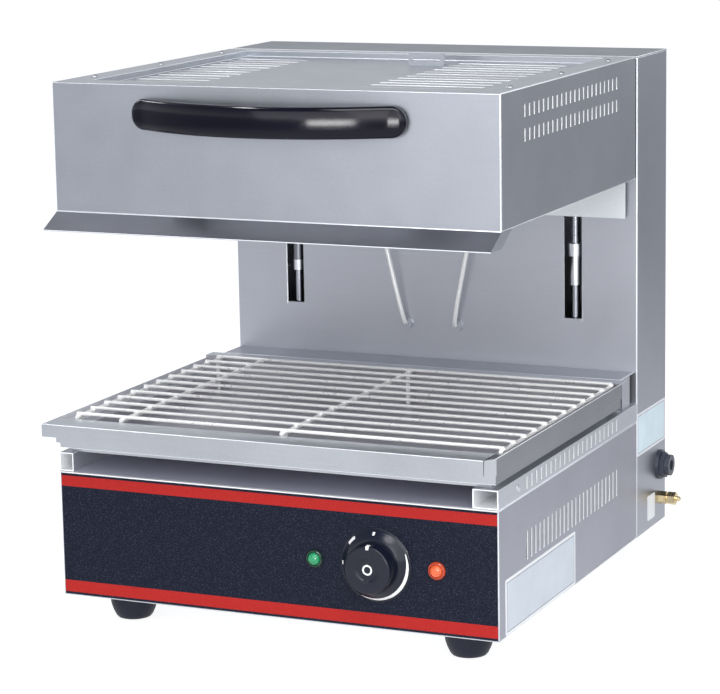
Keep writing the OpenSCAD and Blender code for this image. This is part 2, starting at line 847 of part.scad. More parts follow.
module tray_apron() along_front([0, tray_y0 + tray_t, 0]) linear_extrude(tray_t) difference() {
    polygon([
        [-tray_hw, pan_ledge_z], [-pan_hw, pan_ledge_z], [-pan_hw, skirt_z + ear_step],
        [-pan_hw + ear_step, skirt_z + ear_step], [-pan_hw + ear_step, skirt_z], [tray_hw - tray_t, skirt_z],
        [tray_hw, tray_rim_z], [tray_hw - corner_tab_w, front_rim_z], [-tray_hw, front_rim_z]
    ]);
    translate([tray_hw - corner_tab_w, front_rim_z - corner_slit_h])
        square([corner_slit_w, corner_slit_h + front_rim_drop]);
}

module drip_tray() placed() color(steel) {
    tray_apron();
    block([-pan_hw, pan_y0, rail_z], [pan_hw, pan_y1, rail_z + tray_t]);
    block([-pan_hw, pan_y0, rail_z], [pan_hw, pan_y0 + tray_t, front_rim_z]);
    block([-pan_hw, pan_y1 - tray_t, rail_z], [pan_hw, pan_y1, tray_rim_z]);
    block([-tray_hw, tray_y0, front_rim_z - tray_t], [tray_hw - corner_tab_w, pan_y0 + tray_t, front_rim_z]);
    block([-tray_hw, pan_y1 - tray_t, tray_rim_z - tray_t], [tray_hw, tray_y1, tray_rim_z]);
    for (side = [-1, 1]) {
        rim = side < 0 ? front_rim_z : tray_rim_z;
        wall_x = side < 0 ? -tray_hw : tray_hw - tray_t;
        pan_x = side < 0 ? -pan_hw : pan_hw - tray_t;
        ledge_x = side < 0 ? -tray_hw : pan_hw - tray_t;
        ledge_w = tray_hw - pan_hw + tray_t;
        block([pan_x, pan_y0, rail_z], [pan_x + tray_t, pan_y1, pan_ledge_z + tray_t]);
        block([ledge_x, pan_y0, pan_ledge_z], [ledge_x + ledge_w, pan_y1, pan_ledge_z + tray_t]);
        block([ledge_x, pan_y1 - tray_t, pan_ledge_z], [ledge_x + ledge_w, pan_y1, tray_rim_z]);
        block([ledge_x, pan_y0, pan_ledge_z], [ledge_x + ledge_w, pan_y0 + tray_t, front_rim_z]);
        block([wall_x, tray_y0, pan_ledge_z], [wall_x + tray_t, pan_y1, rim]);
    }
    block([tray_hw - 2 * tray_t, tray_y0, skirt_z], [tray_hw - tray_t, pan_y1, pan_ledge_z + skirt_lap]);
}

// Rack: wires laid across four bars

module wire_rack() placed() color(bright_steel) {
    pitch = (rack_y1 - rack_y0 - 2 * rack_overhang) / (rack_wire_n - 1);
    for (i = [0 : rack_wire_n - 1])
        along_x([rack_x0, rack_y0 + rack_overhang + i * pitch, rack_z])
            cylinder(r = rack_wire_r, h = rack_x1 - rack_x0, $fn = 24);
    for (x = rack_bars)
        along_y([x, rack_y0, rack_bar_z]) cylinder(r = rack_bar_r, h = rack_y1 - rack_y0, $fn = 24);
}

// Legs welded under the bars, which stand in the pan or on its ledges
function leg_foot_z(x) = abs(x) < pan_hw - tray_t - rack_bar_r ? rail_z + tray_t : pan_ledge_z + tray_t;

module rack_legs() placed() color(bright_steel)
    for (x = rack_leg_bars, y = [rack_y0 + rack_leg_in, rack_y1 - rack_leg_in])
        translate([x, y, leg_foot_z(x)])
            cylinder(r = rack_bar_r, h = rack_bar_z - rack_bar_r + rack_weld - leg_foot_z(x), $fn = 24);

// Knob: a grip on a coned skirt, fixed to the thermostat's shaft

module knob_skirt() placed() color(black) along_front([knob_x, -skirt_gap_y, control_z]) difference() {
    cylinder(r1 = skirt_r, r2 = grip_r + skirt_step, h = skirt_t);
    translate([0, 0, -cut]) cylinder(r = shaft_r, h = skirt_t + 2 * cut);
}

module knob_grip() placed() color(black) along_front([knob_x, skirt_y, control_z]) difference() {
    cylinder(r1 = grip_r + grip_taper, r2 = grip_r, h = grip_l);
    translate([0, 0, -cut]) cylinder(r = shaft_r, h = grip_l / 2 + cut);
}

module control_shaft() placed() color(bright_steel) {
    front = skirt_y - grip_l / 2;
    along_y([knob_x, front, control_z]) cylinder(r = shaft_r, h = panel_back_y + shaft_depth - front);
}

// Hood

module lip_end(x) translate([x, 0, 0]) rotate([90, 0, 90]) linear_extrude(sheet_t) polygon([
    [hood_in_y, hood_z], [hood_y0 - lip_reach, hood_z - lip_drop],
    [hood_y0 - lip_reach + lip_return, hood_z - lip_drop - lip_end_fall],
    [hood_y0 + lip_return, hood_z - lip_end_fall]
]);

// The front sheet, folded forward and down along its lower edge into a lip with turned-back ends
module hood_front_panel() placed() color(steel) difference() {
    union() {
        block([-half_w, hood_y0, hood_z], [half_w, hood_in_y, top_z]);
        translate([-half_w, 0, 0]) rotate([90, 0, 90]) linear_extrude(body_w) polygon([
            [hood_y0, hood_z], [hood_y0 - lip_reach, hood_z - lip_drop],
            [hood_y0 - lip_reach + sheet_t / 2, hood_z - lip_drop - sheet_t],
            [hood_in_y, hood_z - sheet_t / 2],
            [hood_in_y, hood_z + cut], [hood_y0, hood_z + cut]
        ]);
        lip_end(-half_w);
        lip_end(half_w - sheet_t);
    }
    for (x = [-handle_screw_x, handle_screw_x]) along_y([x, hood_in_y, handle_z]) screw_hole();
}

module hood_side(side) placed() color(steel) difference() {
    inner = side > 0 ? inner_w : -half_w;
    flange_x = side > 0 ? inner_w - hood_flange_w : -inner_w;
    union() {
        block([inner, hood_in_y, hood_z], [inner + sheet_t, hood_y1, top_z]);
        block([flange_x, hood_y1 - sheet_t, hood_z], [flange_x + hood_flange_w, hood_y1, top_z - sheet_t]);
    }
    for (down = hood_vent_downs)
        vent_row(hood_vent_n, top_z - down - hood_vent_h, top_z - down, inner - cut, inner + sheet_t + cut);
}

module hood_side_left() hood_side(-1);
module hood_side_right() hood_side(1);

function top_screw_places() = [
    for (x = [-inner_w + top_screw_in, inner_w - top_screw_in],
         y = [recess_y0 + top_screw_end, (recess_y0 + recess_y1) / 2, recess_y1 - top_screw_end]) [x, y]
];

// A flat rim round a recess whose floor has two fields of long slots
module hood_top() placed() color(bright_steel) difference() {
    union() {
        block([-inner_w, hood_in_y, top_z - sheet_t], [inner_w, hood_y1, top_z]);
        block([-recess_hw - sheet_t, recess_y0 - sheet_t, recess_floor_z],
              [recess_hw + sheet_t, recess_y1 + sheet_t, top_z]);
    }
    block([-recess_hw, recess_y0, top_z - top_recess], [recess_hw, recess_y1, top_z + cut]);
    pitch = (recess_y1 - recess_y0 - 2 * top_slot_end) / (top_slot_n - 1);
    for (i = [0 : top_slot_n - 1]) {
        y = recess_y0 + top_slot_end + i * pitch;
        left_x = -recess_hw + field_in;
        right_x = recess_hw - right_field_in;
        block([left_x, y - top_slot_w / 2, recess_floor_z - cut],
              [left_x + left_field_l, y + top_slot_w / 2, top_z]);
        block([right_x - right_field_l, y - top_slot_w / 2, recess_floor_z - cut],
              [right_x, y + top_slot_w / 2, top_z]);
    }
    for (place = top_screw_places()) translate([place[0], place[1], top_z]) screw_hole();
}

module hood_top_screws() placed() color(bright_steel) for (place = top_screw_places())
    translate([place[0], place[1], top_z]) screw();

// A small folded bracket that stands on the recess's floor
module top_bracket() placed() color(bright_steel)
    translate([bracket_x, recess_y1 - bracket_back, top_z - top_recess]) difference() {
        union() {
            cube([bracket_w, bracket_d, bracket_t]);
            cube([bracket_w, bracket_t, bracket_h]);
        }
        translate([bracket_bar, -cut, bracket_bar])
            cube([bracket_w - 2 * bracket_bar, bracket_t + 2 * cut, bracket_h - 2 * bracket_bar]);
    }

// The plate between the hood and its guides, notched below for the leads
module carriage_plate() placed() color(bright_steel) difference() {
    x = half_w - carriage_inset;
    block([-x, carriage_y, hood_z - carriage_drop], [x, carriage_back_y, top_z - sheet_t]);
    block([-lead_notch_hw, carriage_y - cut, hood_z - carriage_drop - cut],
          [lead_notch_hw, carriage_back_y + cut, hood_z]);
}

// A shield across the hood with a skirt round the elements
module reflector() placed() color(bright_steel) difference() {
    union() {
        block([-inner_w, hood_in_y, reflector_z], [inner_w, carriage_y, reflector_z + reflector_t]);
        difference() {
            block([-reflector_hw, reflector_y0, hood_z + reflector_skirt],
                  [reflector_hw, reflector_y1, reflector_z]);
            block([-reflector_hw + reflector_t, reflector_y0 + reflector_t, hood_z],
                  [reflector_hw - reflector_t, reflector_y1 - reflector_t, reflector_z]);
        }
    }
    for (i = [0 : run_n - 1])
        along_x([reflector_hw - 2 * reflector_t, run_y(i), element_z])
            cylinder(r = element_r + element_gap, h = 4 * reflector_t);
}

function run_y(i) = run_mid_y + (i - (run_n - 1) / 2) * run_pitch;

// Each element is a tube bent into a U, with a pin at each end
module heating_elements() placed() color(dark_steel) for (e = [0 : element_n - 1]) {
    for (i = [2 * e, 2 * e + 1]) {
        along_x([bend_x, run_y(i), element_z]) cylinder(r = element_r, h = element_end_x - bend_x);
        along_x([element_end_x, run_y(i), element_z]) cylinder(r = pin_r, h = pin_l);
    }
    translate([bend_x, run_y(2 * e) + bend_r, element_z]) difference() {
        rotate_extrude() translate([bend_r, 0]) circle(element_r);
        block([0, -2 * bend_r, -2 * element_r], [2 * bend_r, 2 * bend_r, 2 * element_r]);
    }
}

module element_hangers() placed() color(steel) for (x = [-hanger_x, hanger_x]) difference() {
    block([x, reflector_y0 + reflector_t, element_z - hanger_below],
          [x + hanger_t, reflector_y1 - reflector_t, reflector_z]);
    for (i = [0 : run_n - 1])
        along_x([x - cut, run_y(i), element_z])
            cylinder(r = element_r + element_gap, h = hanger_t + 2 * cut);
}

module insulation_board() placed() color([0.9, 0.88, 0.82])
    block([-reflector_hw, reflector_y0, reflector_z + reflector_t],
          [reflector_hw, reflector_y1, reflector_z + reflector_t + insulation_t]);

// The box under the hood that the two leads run into, open against the carriage plate
module lead_box() placed() color(steel) difference() {
    block([-lead_box_hw, carriage_y - lead_box_d, hood_z], [lead_box_hw, carriage_y, hood_z + lead_box_h]);
    block([-lead_box_hw + sheet_t, carriage_y - lead_box_d + sheet_t, hood_z + sheet_t],
          [lead_box_hw - sheet_t, carriage_y + cut, hood_z + lead_box_h - sheet_t]);
}

// A bowed bar with rounded ends
module hood_handle() placed() color(black) difference() {
    intersection() {
        translate([0, handle_arc_y, handle_z - handle_h / 2]) difference() {
            cylinder(r = handle_arc_r, h = handle_h, $fn = 180);
            translate([0, 0, -cut]) cylinder(r = handle_arc_r - handle_t, h = handle_h + 2 * cut, $fn = 180);
        }
        along_front([0, hood_y0, handle_z]) linear_extrude(handle_bow + cut) union() {
            end_x = handle_l / 2 - handle_end_r;
            translate([-end_x, -handle_end_r]) square([2 * end_x, handle_h]);
            for (x = [-end_x, end_x]) translate([x, 0]) circle(handle_end_r);
        }
    }
    for (x = [-handle_screw_x, handle_screw_x])
        along_y([x, hood_y0 - handle_screw_depth, handle_z]) cylinder(r = screw_r + screw_gap, h = screw_l);
}

module handle_screws() placed() color(bright_steel) for (x = [-handle_screw_x, handle_screw_x])
    along_y([x, hood_in_y, handle_z]) screw(sheet_t + handle_screw_depth);

// The leads leave the column straight and rise to the box in one smooth curve
function lead_path(side) =
    let (
        foot = [side * lead_foot_x, base_d - grommet_flange_t - lead_start, lead_z],
        head = [side * lead_head_x, lead_head_y, hood_z],
        curve_end = head - [0, 0, lead_stub]
    ) concat(
        [[side * lead_foot_x, plate_back_y + lead_tail, lead_z]],
        [for (i = [0 : lead_steps])
            bezier(foot, foot + lead_foot_pull, curve_end - [side * lead_head_pull[0], 0, lead_head_pull[1]],
                   curve_end, i / lead_steps)],
        [head]
    );

module hood_leads() placed() color([0.9, 0.9, 0.88]) for (side = [-1, 1])
    swept_tube(lead_path(side), lead_r, lead_sides, [1, 0, 0]);

base_bottom();
base_side_left();
base_side_right();
front_panel();
front_overlay();
base_deck();
feet();
foot_screws();
rail_left();
rail_right();
rail_screws();
rear_ledge();
column_front_plate();
column_side_left();
column_side_right();
column_floor();
column_rear_cover();
rear_cover_screws();
column_top();
guide_rods();
rod_end_blocks();
stop_sleeves();
strut_tubes();
thermostat_body();
terminal_block();
inner_wires();
lead_grommets();
lamp_holders();
green_lens();
orange_lens();
cable_gland();
gland_locknut();
earth_stud();
earth_nuts();
drip_tray();
wire_rack();
rack_legs();
knob_grip();
knob_skirt();
control_shaft();
hood_front_panel();
hood_side_left();
hood_side_right();
hood_top();
top_bracket();
hood_top_screws();
carriage_plate();
carriage_arm_left();
carriage_arm_right();
guide_bushes();
carriage_crossbar();
strut_rods();
reflector();
heating_elements();
element_hangers();
insulation_board();
lead_box();
hood_handle();
handle_screws();
hood_leads();
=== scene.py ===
"""Looks of a salamander grill: steel panels, a chromed rack, a printed front and a bowed handle."""

import json
import math
import random

import bmesh
import bpy
from mathutils import Matrix, Vector


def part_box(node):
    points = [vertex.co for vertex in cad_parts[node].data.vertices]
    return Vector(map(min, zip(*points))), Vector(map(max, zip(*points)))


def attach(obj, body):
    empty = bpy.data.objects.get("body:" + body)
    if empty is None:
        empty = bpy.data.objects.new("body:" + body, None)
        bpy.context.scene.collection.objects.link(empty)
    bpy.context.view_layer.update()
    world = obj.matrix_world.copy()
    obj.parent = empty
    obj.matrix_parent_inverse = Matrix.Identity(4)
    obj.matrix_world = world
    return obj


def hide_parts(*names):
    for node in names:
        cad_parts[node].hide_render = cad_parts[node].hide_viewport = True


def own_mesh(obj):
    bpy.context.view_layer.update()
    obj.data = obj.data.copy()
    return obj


MM = 0.001
# The part's origin, measured from the middle of the body's width and from the base's front
ORIGIN_X = 9.25
ORIGIN_Y = 225.25

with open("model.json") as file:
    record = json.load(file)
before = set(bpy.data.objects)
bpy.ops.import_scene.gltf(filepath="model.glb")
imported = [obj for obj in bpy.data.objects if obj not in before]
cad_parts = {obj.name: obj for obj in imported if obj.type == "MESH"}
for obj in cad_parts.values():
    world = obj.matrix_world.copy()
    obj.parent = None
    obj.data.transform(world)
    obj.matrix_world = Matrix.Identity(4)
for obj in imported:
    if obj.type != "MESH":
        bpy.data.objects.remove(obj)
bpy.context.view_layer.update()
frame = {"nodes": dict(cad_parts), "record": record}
nodes = frame["nodes"]
node_body = {name: body for body, names in frame["record"]["behaviour"]["bodies"].items() for name in names}
node_slot = {entry["node"]: entry["material_slot"] for entry in frame["record"]["subparts"]}


def at(x, y, z):
    """A point in metres from millimetres, with X from the body's middle and Y from the base's front."""
    return Vector(((x - ORIGIN_X) * MM, (y - ORIGIN_Y) * MM, z * MM))


# Materials


def new_material(name):
    material = bpy.data.materials.new(name)
    material.use_nodes = True
    shader = material.node_tree.nodes["Principled BSDF"]
    return material, material.node_tree, shader


def link(tree, source, output, target, socket):
    tree.links.new(source.outputs[output], target.inputs[socket])


def mapped(tree, scale):
    """Object coordinates, stretched by a scale."""
    coordinates = tree.nodes.new("ShaderNodeTexCoord")
    mapping = tree.nodes.new("ShaderNodeMapping")
    mapping.inputs["Scale"].default_value = scale
    link(tree, coordinates, "Object", mapping, "Vector")
    return mapping


def noise(tree, scale, size, detail=4.0):
    mapping = mapped(tree, scale)
    texture = tree.nodes.new("ShaderNodeTexNoise")
    texture.inputs["Scale"].default_value = size
    texture.inputs["Detail"].default_value = detail
    link(tree, mapping, "Vector", texture, "Vector")
    return texture


def ramp(tree, source, output, low, high, first, second):
    """A ramp from the first colour at low to the second at high."""
    node = tree.nodes.new("ShaderNodeValToRGB")
    node.color_ramp.elements[0].position = low
    node.color_ramp.elements[1].position = high
    node.color_ramp.elements[0].color = (*first, 1)
    node.color_ramp.elements[1].color = (*second, 1)
    link(tree, source, output, node, "Fac")
    return node


def times(tree, first, second):
    """The product of two colours."""
    mix = tree.nodes.new("ShaderNodeMix")
    mix.data_type = "RGBA"
    mix.blend_type = "MULTIPLY"
    mix.inputs["Factor"].default_value = 1.0
    tree.links.new(first, mix.inputs[6])
    tree.links.new(second, mix.inputs[7])
    return mix.outputs[2]


def span(tree, source, output, low, high):
    """A noise value mapped to the range from low to high."""
    node = tree.nodes.new("ShaderNodeMapRange")
    node.inputs["From Min"].default_value = 0.3
    node.inputs["From Max"].default_value = 0.7
    node.inputs["To Min"].default_value = low
    node.inputs["To Max"].default_value = high
    link(tree, source, output, node, "Value")
    return node


def bump(tree, shader, source, output, strength, distance):
    node = tree.nodes.new("ShaderNodeBump")
    node.inputs["Strength"].default_value = strength
    node.inputs["Distance"].default_value = distance
    link(tree, source, output, node, "Height")
    link(tree, node, "Normal", shader, "Normal")


def shade(colour, factor):
    return tuple(min(1.0, channel * factor) for channel in colour)


def brushed_steel(name, colour, roughness, grain="x", smudge=0.06, metallic=1.0):
    """Satin steel: fine brush lines along one axis, a fine speckle, faint clouds and handling marks."""
    material, tree, shader = new_material(name)
    scales = {"x": (6, 900, 900), "y": (900, 6, 900), "z": (900, 900, 6)}
    lines = noise(tree, scales[grain], 2.0, 5.0)
    specks = noise(tree, (1, 1, 1), 1300.0, 2.0)
    clouds = noise(tree, (1, 1, 1), 7.0, 3.0)
    marks = noise(tree, (1, 1, 1), 34.0, 6.0)
    tone = ramp(tree, clouds, "Fac", 0.30, 0.72, shade(colour, 1 - smudge), shade(colour, 1 + smudge))
    line_tone = ramp(tree, lines, "Fac", 0.30, 0.70, (0.95, 0.95, 0.95), (1.0, 1.0, 1.0))
    speck_tone = ramp(tree, specks, "Fac", 0.30, 0.72, (0.90, 0.90, 0.91), (1.0, 1.0, 1.0))
    lined = times(tree, tone.outputs["Color"], line_tone.outputs["Color"])
    tree.links.new(times(tree, lined, speck_tone.outputs["Color"]), shader.inputs["Base Color"])
    gloss = span(tree, marks, "Fac", roughness - 0.015, roughness + 0.025)
    link(tree, gloss, "Result", shader, "Roughness")
    bump(tree, shader, lines, "Fac", 0.05, 0.0004)
    shader.inputs["Metallic"].default_value = metallic
    return material


def polished(name, colour, roughness, worn=0.08, metallic=1.0):
    """Chromed or bright metal with a slight mottling."""
    material, tree, shader = new_material(name)
    spots = noise(tree, (1, 1, 1), 90.0, 5.0)
    tone = ramp(tree, spots, "Fac", 0.35, 0.70, shade(colour, 1 - worn), shade(colour, 1 + worn))
    link(tree, tone, "Color", shader, "Base Color")
    gloss = span(tree, spots, "Fac", roughness, roughness + 0.10)
    link(tree, gloss, "Result", shader, "Roughness")
    bump(tree, shader, spots, "Fac", 0.05, 0.0003)
    shader.inputs["Metallic"].default_value = metallic
    return material


def plastic(name, colour, roughness, grain_size=900.0, grain=0.10, variation=0.15, shine=0.5):
    """Moulded plastic or rubber with a fine grain and faint colour variation."""
    material, tree, shader = new_material(name)
    clouds = noise(tree, (1, 1, 1), 30.0, 3.0)
    grains = noise(tree, (1, 1, 1), grain_size, 2.0)
    tone = ramp(tree, clouds, "Fac", 0.35, 0.70, shade(colour, 1 - variation), shade(colour, 1 + variation))
    link(tree, tone, "Color", shader, "Base Color")
    gloss = span(tree, grains, "Fac", max(0.03, roughness - 0.04), roughness + 0.05)
    link(tree, gloss, "Result", shader, "Roughness")
    bump(tree, shader, grains, "Fac", grain, 0.0002)
    shader.inputs["Specular IOR Level"].default_value = shine
    return material


def lens_plastic(name, colour, glow):
    """Clear coloured plastic that glows a little."""
    material, tree, shader = new_material(name)
    facets = noise(tree, (1, 1, 1), 420.0, 2.0)
    tone = ramp(tree, facets, "Fac", 0.35, 0.70, shade(colour, 0.75), shade(colour, 1.2))
    link(tree, tone, "Color", shader, "Base Color")
    link(tree, tone, "Color", shader, "Emission Color")
    shader.inputs["Emission Strength"].default_value = glow
    shader.inputs["Roughness"].default_value = 0.12
    shader.inputs["Coat Weight"].default_value = 0.6
    bump(tree, shader, facets, "Fac", 0.10, 0.0003)
    return material


def front_film(name, stripes):
    """A black film with a fine sparkle and red stripes, each given by its middle and half its width in mm."""
    material, tree, shader = new_material(name)
    speckle = noise(tree, (1, 1, 1), 800.0, 3.0)
    black = ramp(tree, speckle, "Fac", 0.54, 0.80, (0.0055, 0.0075, 0.0185), (0.060, 0.068, 0.108))
    red = ramp(tree, speckle, "Fac", 0.30, 0.75, (0.375, 0.013, 0.011), (0.43, 0.025, 0.021))
    coordinates = tree.nodes.new("ShaderNodeTexCoord")
    axes = tree.nodes.new("ShaderNodeSeparateXYZ")
    link(tree, coordinates, "Object", axes, "Vector")
    bands = []
    for middle, half in stripes:
        band = tree.nodes.new("ShaderNodeMath")
        band.operation = "COMPARE"
        band.inputs[1].default_value = middle * MM
        band.inputs[2].default_value = half * MM
        tree.links.new(axes.outputs["Z"], band.inputs[0])
        bands.append(band)
    either = tree.nodes.new("ShaderNodeMath")
    either.operation = "MAXIMUM"
    tree.links.new(bands[0].outputs[0], either.inputs[0])
    tree.links.new(bands[1].outputs[0], either.inputs[1])
    mix = tree.nodes.new("ShaderNodeMix")
    mix.data_type = "RGBA"
    tree.links.new(either.outputs[0], mix.inputs["Factor"])
    tree.links.new(black.outputs["Color"], mix.inputs[6])
    tree.links.new(red.outputs["Color"], mix.inputs[7])
    tree.links.new(mix.outputs[2], shader.inputs["Base Color"])
    gloss = span(tree, speckle, "Fac", 0.34, 0.46)
    link(tree, gloss, "Result", shader, "Roughness")
    shader.inputs["Specular IOR Level"].default_value = 0.15
    bump(tree, shader, speckle, "Fac", 0.08, 0.0002)
    return material


def fibre(name, colour):
    """Matted fibre, for the insulation."""
    material, tree, shader = new_material(name)
    strands = noise(tree, (1, 1, 6), 160.0, 8.0)
    tone = ramp(tree, strands, "Fac", 0.30, 0.70, shade(colour, 0.7), colour)
    link(tree, tone, "Color", shader, "Base Color")
    shader.inputs["Roughness"].default_value = 0.95
    bump(tree, shader, strands, "Fac", 0.5, 0.001)
    return material


# Middles of the film's two stripes above the floor, and half their widths
STRIPES = [(143.35, 5.15), (39.25, 5.75)]
STEEL = (0.535, 0.56, 0.615)
BRIGHT = (0.54, 0.565, 0.605)
materials = {
    "panel_steel": brushed_steel("panel_steel", STEEL, 0.36, "x", smudge=0.025),
    "bright_steel": brushed_steel("bright_steel", BRIGHT, 0.32, "x"),
    "tray_steel": brushed_steel("tray_steel", (0.63, 0.66, 0.70), 0.30, "x", smudge=0.10),
    # Chromed wires in a near-white, mostly unmetallic finish so they read bright under the hood: painted
    # light
    "rack_wire": polished("rack_wire", (0.96, 0.96, 0.95), 0.26, worn=0.03, metallic=0.25),
    "guide_steel": brushed_steel("guide_steel", (0.84, 0.86, 0.90), 0.32, "z", smudge=0.03),
    "zinc_steel": polished("zinc_steel", (0.42, 0.43, 0.45), 0.38),
    "front_film": front_film("front_film", STRIPES),
    "handle_plastic": plastic("handle_plastic", (0.002, 0.002, 0.008), 0.13, grain=0.02, shine=0.30),
    "knob_plastic": plastic("knob_plastic", (0.005, 0.007, 0.018), 0.22, shine=0.46),
    "foot_rubber": plastic("foot_rubber", (0.008, 0.010, 0.024), 0.50, grain=0.25, shine=0.35),
    "strut_paint": plastic("strut_paint", (0.02, 0.02, 0.022), 0.30),
    "brass": polished("brass", (0.86, 0.70, 0.42), 0.22, worn=0.10),
    "bush_bronze": polished("bush_bronze", (0.60, 0.44, 0.22), 0.34),
    "element_sheath": brushed_steel("element_sheath", (0.20, 0.19, 0.19), 0.55, "x", smudge=0.25),
    "insulation": fibre("insulation", (0.22, 0.21, 0.20)),
    "lead_sleeve": polished("lead_sleeve", (0.96, 0.96, 0.96), 0.34, worn=0.03, metallic=0.3),
    "green_lens": lens_plastic("green_lens", (0.014, 0.27, 0.11), 0.12),
    "orange_lens": lens_plastic("orange_lens", (0.76, 0.12, 0.035), 0.14),
    "switch_body": plastic("switch_body", (0.66, 0.61, 0.50), 0.55),
    "gland_grey": plastic("gland_grey", (0.035, 0.04, 0.06), 0.30),
    "screw_steel": polished("screw_steel", (0.74, 0.74, 0.76), 0.22),
}
# Copies of the panel steel, each toned for how light falls on its panels: painted shade on the hood, column
# and base sides and on the column top, painted light and shade on the column front
side_painted_shade = brushed_steel("side_painted_shade", (0.49, 0.51, 0.56), 0.36, "y")
base_side_painted_shade = brushed_steel("base_side_painted_shade", (0.425, 0.435, 0.495), 0.36, "y")
column_steel_painted_light = brushed_steel("column_steel_painted_light", (0.57, 0.585, 0.637), 0.40, "x", smudge=0.03)
cap_painted_shade = brushed_steel("cap_painted_shade", (0.31, 0.335, 0.37), 0.36, "x")
# The hood lip's steel, darker than the front panel it is folded from: painted shade
lip_painted_shade = brushed_steel("lip_painted_shade", (0.165, 0.172, 0.195), 0.50, "x")
plate_steel = brushed_steel("plate_steel", (0.86, 0.90, 0.92), 0.36, "x", smudge=0.03, metallic=0.3)
# A darker copy of the tray steel for its ends: painted shade
tray_end_painted_shade = brushed_steel("tray_end_painted_shade", (0.30, 0.314, 0.338), 0.32, "y")
# The base deck in a pale, bluish, nearly unmetallic steel so the shaded deck under the tray reads lit:
# painted light
deck_painted_light = brushed_steel("deck_painted_light", (0.69, 0.69, 0.82), 0.50, "x", metallic=0.1)
rail_steel = brushed_steel("rail_steel", (0.55, 0.57, 0.62), 0.40, "y", metallic=0.55)
# Pale steel for rounded edges: a painted highlight along them
edge_highlight_steel = polished("edge_highlight_steel", (0.90, 0.92, 0.96), 0.34, worn=0.03, metallic=0.35)
# Pale, unmetallic finish for cut walls, front ends and rail insides: bare metal with painted highlights, and
# painted light inside the rails
cut_metal_painted_light = polished("cut_metal_painted_light", (0.94, 0.95, 0.97), 0.50, worn=0.03, metallic=0.0)
pan_steel = brushed_steel("pan_steel", (0.61, 0.60, 0.63), 0.36, "y", smudge=0.14)
# A darker copy of the guide steel for the rods: painted shade from dark reflections
rod_painted_shade = brushed_steel("rod_painted_shade", (0.48, 0.50, 0.55), 0.24, "z", smudge=0.25)
# Dark copy of the sleeve steel for the left sleeve: painted shade
sleeve_painted_shade = brushed_steel("sleeve_painted_shade", (0.26, 0.27, 0.30), 0.30, "z", smudge=0.20)
# The rack's bars and welds, near-white and mostly unmetallic so they read bright in the hood's shade: painted
# light
rack_bar_painted_light = polished("rack_bar_painted_light", (0.94, 0.94, 0.93), 0.36, worn=0.04, metallic=0.25)
mark_white = plastic("mark_white", (0.86, 0.86, 0.86), 0.45, variation=0.04)
green_rim = lens_plastic("green_rim", (0.006, 0.035, 0.018), 0.05)
orange_rim = lens_plastic("orange_rim", (0.42, 0.045, 0.012), 0.12)
label_white = plastic("label_white", (0.90, 0.92, 0.94), 0.42, variation=0.02)
label_line = plastic("label_line", (0.20, 0.22, 0.27), 0.42, variation=0.08)
label_field = plastic("label_field", (0.64, 0.70, 0.77), 0.36, variation=0.04)
plate_field = plastic("plate_field", (0.70, 0.85, 0.92), 0.34, variation=0.05)

for name, node in nodes.items():
    node.data.materials.clear()
    node.data.materials.append(materials[node_slot[name]])
nodes["lead_grommets"].data.materials[0] = column_steel_painted_light
# The guide rods take the darker rod steel: painted shade
nodes["guide_rods"].data.materials[0] = rod_painted_shade


# Pieces that stand for CAD nodes


def mesh_object(name, bm, *palette):
    mesh = bpy.data.meshes.new(name)
    bm.normal_update()
    bm.to_mesh(mesh)
    bm.free()
    for material in palette:
        mesh.materials.append(material)
    piece = bpy.data.objects.new(name, mesh)
    bpy.context.scene.collection.objects.link(piece)
    return piece


def smooth(piece, angle):
    piece.data.shade_smooth()
    piece.data.set_sharp_from_angle(angle=math.radians(angle))
    return piece


def stand_in(piece, *names):
    """The piece rides with the nodes' body and hides them."""
    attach(piece, node_body[names[0]])
    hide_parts(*names)
    return piece


def on_node(piece, name):
    """The piece rides with a node's body, and the node stays."""
    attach(piece, node_body[name])
    return piece


def cleaned(name):
    """A node's mesh as clean faces, with its doubled points merged and its flat triangles joined."""
    bm = bmesh.new()
    bm.from_mesh(nodes[name].data)
    bmesh.ops.remove_doubles(bm, verts=bm.verts, dist=1e-6)
    bmesh.ops.dissolve_limit(bm, angle_limit=math.radians(0.5), verts=bm.verts, edges=bm.edges)
    return bm


# Edges at least this long, in millimetres, and this sharp, in degrees, are rounded
LONG_EDGE = 40
SHARP_EDGE = 35
# The least share of an axis in the normal of a face that looks along it, and the largest in one across it
ALONG = 0.9
ACROSS = 0.3
# How far a sheet's front end and rim reach in, in millimetres
RIM = 2


